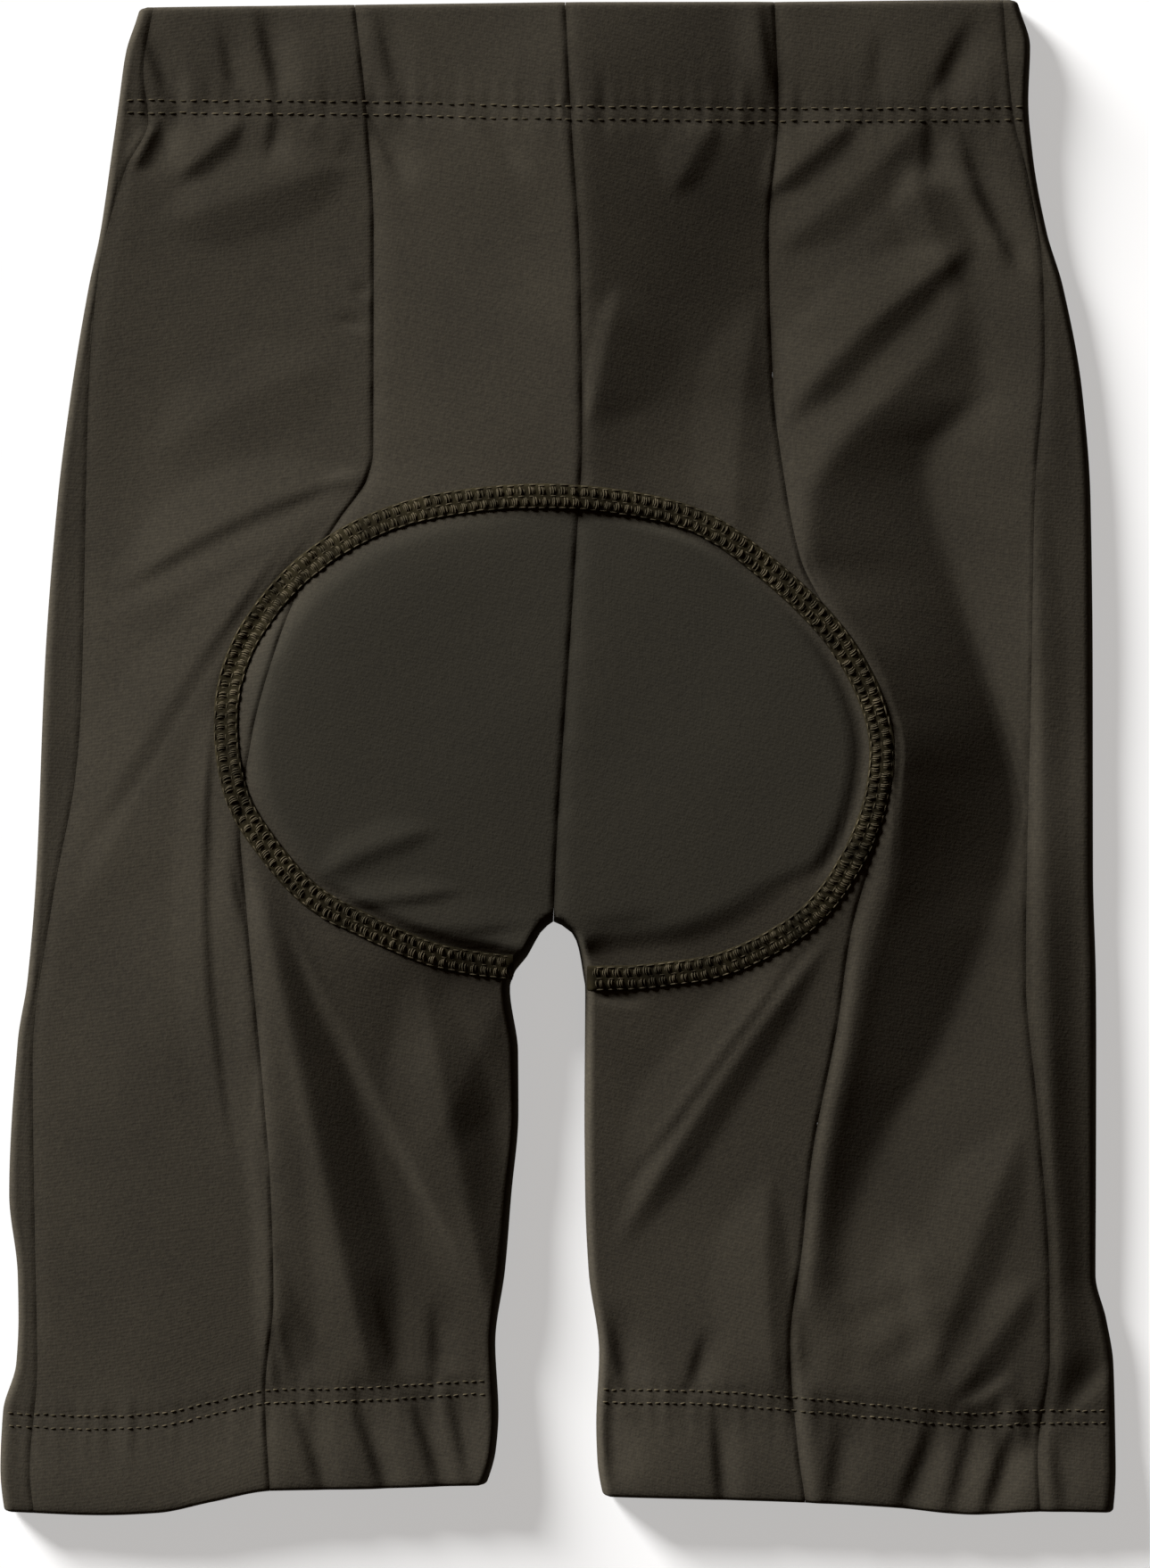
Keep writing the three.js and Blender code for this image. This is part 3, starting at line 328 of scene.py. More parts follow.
def fold_rise(fold, x, station):
    """How high one fold stands at each place: a rounded crest between two even slopes."""
    x0, s0, x1, s1, bow, rise, left, right, flare = fold
    t, across = along_and_across(x0, s0, x1, s1, bow, x, station)
    ends = smooth(t / 0.35) * smooth((1 - t) / 0.35)
    widen = (1 + flare * (np.clip(t, 0, 1) - 0.5)) * (0.35 + 0.65 * ends)
    off = np.abs(across) / (np.where(across > 0, left, right) * widen)
    off = np.sqrt(off ** 2 + 0.01) - 0.1
    slope = ((1 - off) + np.sqrt((1 - off) ** 2 + 0.01)) / 2
    return 1.25 * rise * slope * smooth(t / 0.3) * smooth((1 - t) / 0.3)


def spline(points, count):
    """A smooth curve through points, sampled evenly along its length."""
    p = np.array(points, float)
    p = np.vstack([2 * p[0] - p[1], p, 2 * p[-1] - p[-2]])
    t = np.linspace(0, 1, 40, endpoint=False)[:, None]
    pieces = []
    for i in range(1, len(p) - 2):
        a, b, c, d = p[i - 1], p[i], p[i + 1], p[i + 2]
        bend, twist = 2 * a - 5 * b + 4 * c - d, 3 * b - a - 3 * c + d
        pieces.append(0.5 * (2 * b + (c - a) * t + bend * t ** 2 + twist * t ** 3))
    dense = np.vstack(pieces + [p[-2:-1]])
    run = length_along(dense)
    even = np.linspace(0, run[-1], count)
    return np.column_stack([np.interp(even, run, dense[:, 0]), np.interp(even, run, dense[:, 1])])


RING = spline(PAD_SEAM, 900)
ring_angles = np.arctan2(RING[:, 1] - PAD_STATION, RING[:, 0] - PAD_X)
ring_order = np.argsort(ring_angles)
RING_ANGLES = ring_angles[ring_order]
RING_REACH = np.hypot(RING[:, 1] - PAD_STATION, RING[:, 0] - PAD_X)[ring_order]


def pad_reach(angle):
    return np.interp(angle, RING_ANGLES, RING_REACH, period=2 * math.pi)


# The seam goes on round the insert's front half, underneath.
FRONT_RING = spline([
    (-12.4, 271.4), (-30, 269), (-50, 261), (-64, 246), (-69, 226), (-64, 204), (-48, 186), (-24, 177),
    (1, 175), (26, 177), (49, 186), (64, 204), (69, 226), (64, 246), (48, 262), (26, 271), (8.2, 274),
], 700)
front_angles = np.arctan2(FRONT_RING[:, 1] - 222, FRONT_RING[:, 0])
front_order = np.argsort(front_angles)
FRONT_ANGLES = front_angles[front_order]
FRONT_REACH = np.hypot(FRONT_RING[:, 1] - 222, FRONT_RING[:, 0])[front_order]


def from_front_ring(x, station):
    angle = np.arctan2(station - 222, x)
    return np.hypot(station - 222, x) - np.interp(angle, FRONT_ANGLES, FRONT_REACH, period=2 * math.pi)


def inside_ring(x, station):
    """How far out a place is, as a share of the way from the pad's middle to its seam."""
    dx, ds = x - PAD_X, station - PAD_STATION
    return np.hypot(dx, ds) / pad_reach(np.arctan2(ds, dx))


def ripple(along, pitch, seed):
    """Uneven gathers along a row of stitches."""
    phase = np.random.default_rng(seed).uniform(0, 6.28, 4)
    turns = along / pitch
    wave = np.sin(turns * 6.28 + phase[0]) + 0.8 * np.sin(turns * 9.9 + phase[1])
    swell = 0.6 + 0.4 * np.sin(turns * 1.3 + phase[2])
    return wave * swell + 0.5 * np.sin(turns * 15.1 + phase[3])


WAIST_ROWS = [(-125, 28.2), (-52, 29.0), (4, 30.6), (62, 30.6), (132, 30.2)]
HEM_ROWS = [
    (-157, 392.4), (-122, 392.2), (-81, 391.8), (-58, 391.6), (-16, 390.6), (14, 390.0), (40, 389.6),
    (66, 390.6), (102, 391.6), (132, 391.6), (157, 391.4),
]
waist_row, hem_row = curve(WAIST_ROWS), curve(HEM_ROWS)
ROW_APART = 3.6


def sewn_relief(x, station):
    """The stitched rows pull the cloth down and gather it, and the elastic ripples the turned edges."""
    waist = waist_row(x)
    hem = hem_row(x)
    pull = 0.0
    for row in (waist, waist + ROW_APART, hem, hem + ROW_APART):
        pull = pull - 0.12 * np.exp(-(((station - row) / 0.9) ** 2))
    off_waist = station - waist - ROW_APART / 2
    off_hem = station - hem - ROW_APART / 2
    near_waist = np.exp(-((off_waist / np.where(off_waist > 0, 5.0, 9.0)) ** 2))
    near_hem = np.exp(-((off_hem / np.where(off_hem > 0, 10.0, 5.0)) ** 2))
    gathers = 0.09 * near_waist * ripple(x, 11.0, 1) + 0.08 * near_hem * ripple(x, 10.0, 2)
    tangle = 0.15 * np.exp(-(((x + 3) / 7) ** 2) - (((station - 31) / 3) ** 2))
    return pull + gathers + tangle * np.sin(x * 2.1)


# seam, depth of its groove, height of the roll to its right, station where the roll starts
BACK_SEAMS = (
    (back_left, 0.36, 0.0, 0), (back_right, 0.3, 0.35, 240), (side_left, 0.18, 0.0, 0),
    (side_right, 0.24, 0.3, 180),
)
CENTRE_SEAM = ((centre_back, 0.36, 0.0, 0),)


def seam_relief(x, station, seams):
    """A seam sinks in a groove, gentler on its right side, with a soft roll to its right on some seams, and
    puckers a little.
    """
    relief = 0.0
    for k, (seam, depth, roll, start) in enumerate(seams):
        off = x - seam(station)
        pucker = 1 + 0.25 * np.sin(station * 0.41 + k) * np.sin(station * 0.13 + 2 * k)
        groove = np.exp(-((np.abs(off) / np.where(off < 0, 0.75, 2.6)) ** 1.5))
        crest = np.exp(-(((off - 3.4) / np.where(off < 3.4, 1.8, 5.0)) ** 2))
        relief = relief - depth * pucker * groove + roll * crest * smooth((station - start) / 40)
    return relief


def tent(x, station):
    """The cloth stands in broad facets between its seams, propped up by the pad."""
    left, right = left_side(station) + 3, right_side(station) - 3
    below = station > CROTCH
    inner_left = np.where(below, left_inner(station), centre_back(station))
    inner_right = np.where(below, right_inner(station), centre_back(station))
    heights = [read(station) for read in section_heights]
    ridge = np.maximum(thigh_ridge(station), back_right(station) + 0.5)
    lines = [
        (left, 0 * station), (side_left(station), heights[0]), (back_left(station), heights[1]),
        (inner_left, heights[2]), (inner_right, heights[3]), (back_right(station), heights[4]),
        (ridge, heights[5]), (low_line(station), heights[6]),
        (side_right(station), heights[7]), (right, 0 * station),
    ]
    found = np.zeros(np.broadcast(x, station).shape)
    for (x0, z0), (x1, z1) in zip(lines[:-1], lines[1:]):
        span = np.maximum(x1 - x0, 1e-6)
        t = (x - x0) / span
        found = np.where((t >= 0) & (t < 1), z0 + (z1 - z0) * t, found)
    return found


def soft_tent(x, station):
    return sum(share * tent(x + dx, station) for dx, share in ((-2.4, 0.25), (0, 0.5), (2.4, 0.25)))


def waver(x, station):
    """Slow unevenness of cloth that was smoothed by hand."""
    broad = np.sin(x / 17.0 + 0.7 * np.sin(station / 31.0))
    broad = broad * np.sin(station / 23.0 + 0.9 * np.sin(x / 27.0) + 1.0)
    slanting = np.sin((x + 0.6 * station) / 9.5 + 1.3 * np.sin(station / 37.0))
    slanting = slanting * np.sin((station - 0.4 * x) / 41.0)
    return 0.22 * broad + 0.12 * slanting


def over_pad(x, station):
    """How far each place lies on the pad, from 0 beside it to 1 on it, and how far out from its middle."""
    share = inside_ring(x, station)
    low_end = smooth((station - 238) / 12)
    low_right = low_end * smooth((x + 5) / 20)
    towards_light = smooth((-20 - x + 0.8 * (200 - station)) / 70) * (1 - low_end)
    start = 0.9 - 0.1 * low_right - 0.03 * towards_light
    on_pad = 1 - smooth((share - start) / (0.07 - 0.02 * low_end + 0.05 * low_right + 0.04 * towards_light))
    return on_pad, share, low_end, towards_light


def back_height(x, station):
    """How high the outside of the back lies."""
    x, station = np.broadcast_arrays(np.asarray(x, float), np.asarray(station, float))
    in_body = smooth((station - 24) / 14) * smooth((HEM_STATION - HEM_HEIGHT + 6 - station) / 14)
    on_pad, share, low_end, towards_light = over_pad(x, station)
    plateau = PAD_TOP - share ** 2 - 1.5 * towards_light * share ** 10 - loft(station)
    height = loft(station) + soft_tent(x, station) * (1 - on_pad) + plateau * on_pad
    to_right = smooth((x + 20) / 60) * (1 - low_end)
    height = height - 0.6 * to_right * np.exp(-(((share - 0.935) / 0.018) ** 2))
    for fold in FOLDS:
        height = height + fold_rise(fold, x, station) * in_body
    for crease in CREASES:
        height = height + crease_rise(crease, x, station)
    crumple = np.exp(-(((x - 94) / 17) ** 4) - (((station - 371) / 13) ** 4))
    wrinkles = np.sin(x / 2.3 + 1.4 * np.sin(station / 4.0)) + np.sin((x + 2 * station) / 4.4)
    height = height + 0.08 * crumple * wrinkles
    seams = seam_relief(x, station, BACK_SEAMS)
    seams = seams + seam_relief(x, station, CENTRE_SEAM) * (station < CROTCH + 2)
    return height + seams + sewn_relief(x, station) + waver(x, station) * (1 - 0.7 * on_pad)


def front_lift(x, station):
    """The front lies on the surface, and only its seams and stitched rows lift off it."""
    lift = 0.0
    for seam in (front_left, front_centre, front_right):
        lift = lift + 0.55 * np.exp(-((np.abs(x - seam(station)) / 0.9) ** 1.6))
    for row in (waist_row(x), waist_row(x) + ROW_APART, hem_row(x), hem_row(x) + ROW_APART):
        lift = lift + 0.4 * np.exp(-(((station - row) / 1.0) ** 2))
    return np.maximum(lift, 0.95 * np.exp(-((from_front_ring(x, station) / 4.2) ** 4)))


def middle(x, station):
    crotch = np.exp(-((x / 16) ** 2) - (((station - CROTCH - 3) / 16) ** 2))
    return loft(station) / 2 + 1.5 * crotch


def place(x, station, back, depth):
    """A place on the cloth at some depth under its outside, in millimetres."""
    x, station, back, depth = np.broadcast_arrays(x, station, back, np.asarray(depth, float))
    y = level(x, station)
    far, inward = nearest_edge(x, station, y)
    beside = np.clip(1 - far / FOLD_RADIUS, 0, 1).reshape(x.shape)
    inward = inward.reshape(x.shape + (2,))
    over = np.sqrt(1 - beside ** 2)
    centre = middle(x, station)
    top = centre + (back_height(x, station) - depth - centre) * over
    under = centre - (centre - depth - front_lift(x, station)) * over
    level_x = x + inward[..., 0] * depth * beside
    level_y = y + inward[..., 1] * depth * beside
    return np.stack([level_x, level_y, np.where(back, top, under)], axis=-1)


def outward(x, station, back):
    """The direction out of the cloth at each place."""
    across = place(x + 0.25, station, back, 0) - place(x - 0.25, station, back, 0)
    down = place(x, station + 0.25, back, 0) - place(x, station - 0.25, back, 0)
    normal = np.cross(across, down)
    normal /= np.linalg.norm(normal, axis=-1)[..., None]
    return normal * np.where(np.asarray(back), -1, 1)[..., None]


# meshes
def add_object(name, vertices, faces, uv=None, smooth_angle=None):
    """A piece from vertices in millimetres and faces, with its faces turned out."""
    vertices = np.asarray(vertices, float) * MM
    faces = np.asarray(faces)
    a, b, c = (vertices[faces[:, k]] for k in range(3))
    if np.einsum("ij,ij->i", a, np.cross(b, c)).sum() < 0:
        faces = faces[:, ::-1]
    mesh = bpy.data.meshes.new(name)
    mesh.from_pydata(vertices.tolist(), [], faces.tolist())
    mesh.polygons.foreach_set("use_smooth", np.ones(len(mesh.polygons), bool))
    if uv is not None:
        corners = np.empty(len(mesh.loops), np.int32)
        mesh.loops.foreach_get("vertex_index", corners)
        layer = mesh.uv_layers.new(name="Cloth")
        layer.data.foreach_set("uv", (np.asarray(uv) * MM)[corners].ravel())
    piece = bpy.data.objects.new(name, mesh)
    bpy.context.collection.objects.link(piece)
    if smooth_angle:
        bpy.ops.object.select_all(action="DESELECT")
        piece.select_set(True)
        bpy.context.view_layer.objects.active = piece
        bpy.ops.object.shade_smooth_by_angle(angle=math.radians(smooth_angle))
    return piece


def both_faces(outer, inner):
    """The points of a wall: those of its outside, then those of its inside."""
    return np.concatenate([outer.reshape(-1, 3), inner.reshape(-1, 3)])


def shell_faces(rows, columns, loop=False):
    """Faces of a closed wall between two grids of points, or of a closed tube when its columns loop."""
    i, j = np.meshgrid(np.arange(rows - 1), np.arange(columns if loop else columns - 1), indexing="ij")
    i, j = i.ravel(), j.ravel()
    k = (j + 1) % columns
    other = rows * columns
    outer = np.column_stack([i * columns + j, (i + 1) * columns + j, (i + 1) * columns + k, i * columns + k])
    inner = outer[:, ::-1] + other
    faces = [outer, inner]
    j = np.arange(columns if loop else columns - 1)
    k = (j + 1) % columns
    last = (rows - 1) * columns
    faces.append(np.column_stack([j, k, k + other, j + other]))
    faces.append(np.column_stack([last + k, last + j, last + j + other, last + k + other]))
    if not loop:
        i = np.arange(rows - 1) * columns
        faces.append(np.column_stack([i + columns, i, i + other, i + columns + other]))
        e = i + columns - 1
        faces.append(np.column_stack([e, e + columns, e + columns + other, e + other]))
    return np.concatenate(faces)


def rows_of(fine):
    """The rows of a panel: station and depth of its outside and of its inside, through both turned edges."""
    rows = []
    waist, hem = WAIST_CASING / 2, HEM_CASING / 2
    for s in np.linspace(TURNED, waist, 10, endpoint=False):
        rows.append((s, WAIST_CASING, s, WAIST_CASING - CLOTH))
    for a in np.linspace(math.pi, 0, 8):
        outer, inner = waist, waist - CLOTH
        rows.append((
            waist - outer * math.sin(a), waist - outer * math.cos(a),
            waist - inner * math.sin(a), waist - inner * math.cos(a),
        ))
    for s in np.linspace(waist, HEM_STATION - hem, fine)[1:-1]:
        rows.append((s, 0, s, CLOTH))
    for a in np.linspace(0, math.pi, 8):
        outer, inner = hem, hem - CLOTH
        bottom = HEM_STATION - hem
        rows.append((
            bottom + outer * math.sin(a), hem - outer * math.cos(a),
            bottom + inner * math.sin(a), hem - inner * math.cos(a),
        ))
    for s in np.linspace(HEM_STATION - hem, HEM_STATION - TURNED, 11)[1:]:
        rows.append((s, HEM_CASING, s, HEM_CASING - CLOTH))
    return np.array(rows)


def in_from_edge(round_fold):
    quarter = FOLD_RADIUS * math.pi / 2
    r = np.asarray(round_fold, float)
    round_part = FOLD_RADIUS * (1 - np.cos(np.minimum(r, quarter) / FOLD_RADIUS))
    return np.where(r < quarter, round_part, FOLD_RADIUS + r - quarter)


def round_from_edge(inward):
    i = np.asarray(inward, float)
    return np.where(
        i < FOLD_RADIUS,
        FOLD_RADIUS * np.arccos(np.clip(1 - i / FOLD_RADIUS, -1, 1)),
        i + (math.pi / 2 - 1) * FOLD_RADIUS,
    )


SEAM_COLUMNS = (0, 0.35, 0.7, 1.1, 1.6, 2.3)
FOLD_COLUMNS = (0, 0.5, 1.0, 1.5, 2.0, 2.6, 3.3, 4.2, 5.4)


def spread(width, start, end, count):
    """Distances across a panel of some width, close together at both ends: one row for each width."""
    width = np.asarray(width)[:, None]
    start, end = np.array(start)[None, :], np.array(end)[None, :]
    share = (np.arange(1, count + 1) / (count + 1))[None, :]
    low, high = start[:, -1:], width - end[:, -1:]
    return np.hstack([start + 0 * width, low + (high - low) * share, (width - end)[:, ::-1]])


def inner_columns(seam, centre, edge, side, count):
    """Places across an inner panel, from its outer seam to the centre seam or the leg's inner fold."""
    def columns(station):
        start = seam(station) + side * SEAM_GAP / 2
        upper = np.abs(centre(station) - side * SEAM_GAP / 2 - start)
        x_upper = start[:, None] + side * spread(upper, SEAM_COLUMNS, FOLD_COLUMNS, count)
        fold = edge(station)
        width = round_from_edge(np.abs(fold - start)) - SEAM_GAP / 2
        run = spread(width, SEAM_COLUMNS, FOLD_COLUMNS, count)
        x_lower = fold[:, None] - side * in_from_edge(width[:, None] - run + SEAM_GAP / 2)
        return np.where((station < CROTCH)[:, None], x_upper, x_lower)
    return columns


def outer_columns(start, end, count):
    def columns(station):
        low = start(station) + SEAM_GAP / 2
        width = end(station) - SEAM_GAP / 2 - low
        return low[:, None] + spread(width, SEAM_COLUMNS, SEAM_COLUMNS, count)
    return columns


def wrap_columns(back_seam, side_edge, front_seam, side, above_count, under_count):
    """Places across an outer front panel: over the back, round the side and under."""
    def columns(station):
        fold = side_edge(station)
        above = round_from_edge(np.abs(back_seam(station) - fold) - SEAM_GAP / 2)
        below = np.abs(front_seam(station) - fold) - SEAM_GAP / 2
        share = np.linspace(0, 1, above_count) ** 1.15
        top = fold[:, None] + side * in_from_edge(above[:, None] * (1 - share)[None, :])
        near = np.array(FOLD_COLUMNS[1:])
        rounded = fold[:, None] + side * in_from_edge(near)[None, :]
        reached = float(in_from_edge(near[-1]))
        flat = np.linspace(0, 1, under_count + 1)[1:]
        under = fold[:, None] + side * (reached + (below[:, None] - reached) * flat[None, :])
        return np.hstack([top, rounded, under])
    return columns


def panel(name, columns, back, grain, fine=300):
    """One panel of cloth, with its waist and hem edges turned in.

    Its UV map is in real metres along the grain.
    """
    rows = rows_of(fine)
    layers = []
    for s_column, d_column in ((0, 1), (2, 3)):
        station = rows[:, s_column]
        x = columns(station)
        count = x.shape[1]
        flags = back(count) if callable(back) else np.full(count, back)
        layers.append(place(x, station[:, None], flags[None, :], rows[:, d_column][:, None]))
    outer, inner = layers
    steps = np.linalg.norm(np.diff(outer, axis=1), axis=2)
    run = np.hstack([np.zeros((len(rows), 1)), np.cumsum(steps, axis=1)])
    run -= run[:, run.shape[1] // 2][:, None]
    along = length_along(outer[:, outer.shape[1] // 2])
    turn = math.radians(grain)
    u = run * math.cos(turn) - along[:, None] * math.sin(turn)
    v = run * math.sin(turn) + along[:, None] * math.cos(turn)
    uv = np.stack([u, v], axis=-1).reshape(-1, 2)
    faces = shell_faces(*outer.shape[:2])
    piece = add_object(name, both_faces(outer, inner), faces, np.concatenate([uv, uv]), 55)
    # The share of each point that lies on the pad, on the back: the mask for the cloth's painted shade there.
    pad_shade = over_pad(columns(rows[:, 0]), rows[:, 0][:, None])[0] * flags[None, :]
    pad_shade_layer = piece.data.attributes.new("pad_shade", "FLOAT", "POINT")
    pad_shade_layer.data.foreach_set("value", np.tile(pad_shade.ravel(), 2))
    return piece


def sweep(name, paths, ups, radius, sides=6, flat=1.0, taper=0.35, dip=0.0):
    """Many short threads as one mesh: each follows its own points, and both its ends narrow and sink."""
    paths, ups = np.asarray(paths, float), np.asarray(ups, float)
    n, k = paths.shape[:2]
    along = np.gradient(paths, axis=1)
    along /= np.maximum(1e-9, np.linalg.norm(along, axis=2))[..., None]
    sideways = np.cross(along, ups)
    sideways /= np.maximum(1e-9, np.linalg.norm(sideways, axis=2))[..., None]
    up = np.cross(sideways, along)
    share = np.sin(np.linspace(0, math.pi, k))
    size = radius * (taper + (1 - taper) * np.sqrt(np.maximum(0, share)))
    centre = paths + ups * (dip * (np.sqrt(np.maximum(0, share)) - 1))[None, :, None]
    angle = np.arange(sides) / sides * 2 * math.pi
    ring = (
        centre[:, :, None] + size[None, :, None, None] * (
            np.cos(angle)[None, None, :, None] * sideways[:, :, None]
            + flat * np.sin(angle)[None, None, :, None] * up[:, :, None]
        )
    )
    vertices = ring.reshape(-1, 3)
    base = (np.arange(n) * k * sides)[:, None, None]
    r = (np.arange(k - 1) * sides)[None, :, None]
    a = np.arange(sides)[None, None, :]
    b = (a + 1) % sides
    quads = np.stack([base + r + a, base + r + b, base + r + sides + b, base + r + sides + a], axis=-1)
    quads = quads.reshape(-1, 4)
    tip = np.concatenate([vertices, ring[:, 0].mean(axis=1), ring[:, -1].mean(axis=1)])
    first = n * k * sides + np.arange(n)[:, None]
    last = first + n
    start = np.arange(n)[:, None] * k * sides
    end = start + (k - 1) * sides
    caps = [
        np.stack([start + b[0], start + a[0], first + 0 * a[0]], axis=-1).reshape(-1, 3),
        np.stack([end + a[0], end + b[0], last + 0 * a[0]], axis=-1).reshape(-1, 3),
    ]
    mesh = bpy.data.meshes.new(name)
    faces = quads[:, ::-1].tolist() + caps[0][:, ::-1].tolist() + caps[1][:, ::-1].tolist()
    v = tip
    q = quads[:, ::-1]
    volume = np.einsum("ij,ij->i", v[q[:, 0]], np.cross(v[q[:, 1]], v[q[:, 2]])).sum()
    volume += np.einsum("ij,ij->i", v[q[:, 0]], np.cross(v[q[:, 2]], v[q[:, 3]])).sum()
    if volume < 0:
        faces = [face[::-1] for face in faces]
    mesh.from_pydata((tip * MM).tolist(), [], faces)
    mesh.polygons.foreach_set("use_smooth", np.ones(len(mesh.polygons), bool))
    piece = bpy.data.objects.new(name, mesh)
    bpy.context.collection.objects.link(piece)
    return piece


def stitched_row(lines, back, pitch, length, k=5, wander=0.1):
    """Stitches along lines of x and station: points and outward directions of each."""
    paths, ups = [], []
    for line in lines:
        line = np.asarray(line, float)
        run = length_along(line)
        centres = np.arange(pitch / 2, run[-1] - pitch / 2, pitch)
        centres = centres + rng.uniform(-0.08, 0.08, len(centres)) * pitch
        share = np.linspace(-0.5, 0.5, k) * length
        at = centres[:, None] + share[None, :]
        drift = rng.normal(0, wander, len(centres))[:, None]
        drift = drift + rng.normal(0, 0.08, len(centres))[:, None] * share
        x = np.interp(at, run, line[:, 0])
        station = np.interp(at, run, line[:, 1]) + drift
        flags = np.full(x.shape, back)
        paths.append(place(x, station, flags, 0))
        ups.append(outward(x, station, flags))
    return np.concatenate(paths), np.concatenate(ups)


def leg_loop(low_edge, high_edge, stations, count=56):
    """Places right round a leg or the waist, back and then front, and which of them are on the back."""
    width = round_from_edge(high_edge(stations) - low_edge(stations)) / 2
    near = np.array([0, 1.5, 3.0, 4.5, 6.2])
    share = np.linspace(0, 1, count // 2)[1:]
    beyond = near[-1] + (width[:, None] - near[-1]) * share[None, :]
    half = np.hstack([near[None, :] + 0 * width[:, None], beyond])
    from_low = low_edge(stations)[:, None] + in_from_edge(half)
    from_high = high_edge(stations)[:, None] - in_from_edge(half)
    centre = (from_low[:, -1:] + from_high[:, -1:]) / 2
    across = np.hstack([from_low[:, :-1], centre, from_high[:, -2::-1]])
    back = np.hstack([np.ones(across.shape[1], bool), np.zeros(across.shape[1] - 2, bool)])
    return np.hstack([across, across[:, -2:0:-1]]), back


def elastic_ring(name, low_edge, high_edge, stations, depth, thickness):
    """A woven elastic lying inside a turned edge."""
    x, back = leg_loop(low_edge, high_edge, stations)
    outer = place(x, stations[:, None], back[None, :], depth)
    inner = place(x, stations[:, None], back[None, :], depth + thickness)
    return add_object(
        name, both_faces(outer, inner), shell_faces(*x.shape, loop=True),
        smooth_angle=50,
    )


def folded_pad(name, rays=120):
    """The insert, folded on itself: one crowned, rounded form between the front and the back."""
    angle = np.linspace(-math.pi, math.pi, rays, endpoint=False)
    reach = pad_reach(angle) - 4.4
    for k in range(rays):
        d = np.arange(20, reach[k], 0.5)
        x, station = PAD_X + d * math.cos(angle[k]), PAD_STATION + d * math.sin(angle[k])
        far, _ = nearest_edge(x, station, level(x, station))
        short = np.flatnonzero(far < 6.5)
        if len(short):
            reach[k] = d[short[0]]
    reach = (np.roll(reach, 1) + 2 * reach + np.roll(reach, -1)) / 4
    rim = np.linspace(0, math.pi / 2, 7)
    shares = np.concatenate([np.linspace(0.08, 0.94, 15), 0.94 + 0.06 * np.sin(rim)[1:]])
    swell = np.concatenate([np.ones(15), np.cos(rim)[1:]])
    grids = []
    for up in (1, -1):
        x = PAD_X + shares[:, None] * reach[None, :] * np.cos(angle)[None, :]
        station = PAD_STATION + shares[:, None] * reach[None, :] * np.sin(angle)[None, :]
        top = back_height(x, station) - CLOTH - 0.25
        bottom = CLOTH + 0.2 + front_lift(x, station)
        z = (top + bottom) / 2 + up * (top - bottom) / 2 * swell[:, None]
        grids.append(np.stack([x, level(x, station), z], axis=-1))
    upper, lower = grids
    rows = len(shares)
    centres = [upper[0].mean(axis=0)[None], lower[0].mean(axis=0)[None]]
    points = np.concatenate([upper.reshape(-1, 3), lower[:-1].reshape(-1, 3), *centres])
    faces = []
    for i in range(rows - 1):
        for k in range(rays):
            n = (k + 1) % rays
            faces.append((i * rays + k, (i + 1) * rays + k, (i + 1) * rays + n, i * rays + n))
    base = rows * rays
    for i in range(rows - 1):
        outer = (rows - 1) * rays if i == rows - 2 else base + (i + 1) * rays
        for k in range(rays):
            n = (k + 1) % rays
            faces.append((base + i * rays + k, base + i * rays + n, outer + n, outer + k))
    top_centre, bottom_centre = len(points) - 2, len(points) - 1
    for k in range(rays):
        n = (k + 1) % rays
        faces.append((top_centre, k, n, n))
        faces.append((bottom_centre, base + n, base + k, base + k))
    mesh = bpy.data.meshes.new(name)
    mesh.from_pydata((points * MM).tolist(), [], [tuple(dict.fromkeys(face)) for face in faces])
    mesh.polygons.foreach_set("use_smooth", np.ones(len(mesh.polygons), bool))
    piece = bpy.data.objects.new(name, mesh)
    bpy.context.collection.objects.link(piece)
    bpy.ops.object.select_all(action="DESELECT")
    piece.select_set(True)
    bpy.context.view_layer.objects.active = piece
    bpy.ops.object.mode_set(mode="EDIT")
    bpy.ops.mesh.select_all(action="SELECT")
    bpy.ops.mesh.normals_make_consistent(inside=False)
    bpy.ops.object.mode_set(mode="OBJECT")
    return piece


def beside(path, offset):
    """Directions across a path in plan."""
    along = np.gradient(path, axis=0)
    along /= np.linalg.norm(along, axis=1)[:, None]
    return path + offset * np.column_stack([-along[:, 1], along[:, 0]])


def seam_bed(name, path, back):
    """The thick bed of looped thread under the flat seam's stitches, as a low crowned band."""
    offsets = np.array([-3.5, -3.3, -2.6, -1.3, 0, 1.3, 2.6, 3.3, 3.5])
    rise = 0.08 + 0.34 * np.array([0.05, 0.55, 0.9, 0.97, 1, 0.97, 0.9, 0.55, 0.05])
    x = np.stack([beside(path, w)[:, 0] for w in offsets], axis=1)
    station = np.stack([beside(path, w)[:, 1] for w in offsets], axis=1)
    flags = np.full(x.shape, back)
    base, up = place(x, station, flags, 0), outward(x, station, flags)
    outer = base + up * rise[None, :, None]
    inner = base + up * 0.04
    run = np.linspace(0, np.linalg.norm(np.diff(path, axis=0), axis=1).sum(), len(path))
    uv = np.stack([np.broadcast_to(offsets, x.shape), np.broadcast_to(run[:, None], x.shape)], axis=-1)
    uv = uv.reshape(-1, 2)
    return add_object(
        name, both_faces(outer, inner), shell_faces(*x.shape),
        np.concatenate([uv, uv]), 60,
    )


RING_PITCH = 2.9


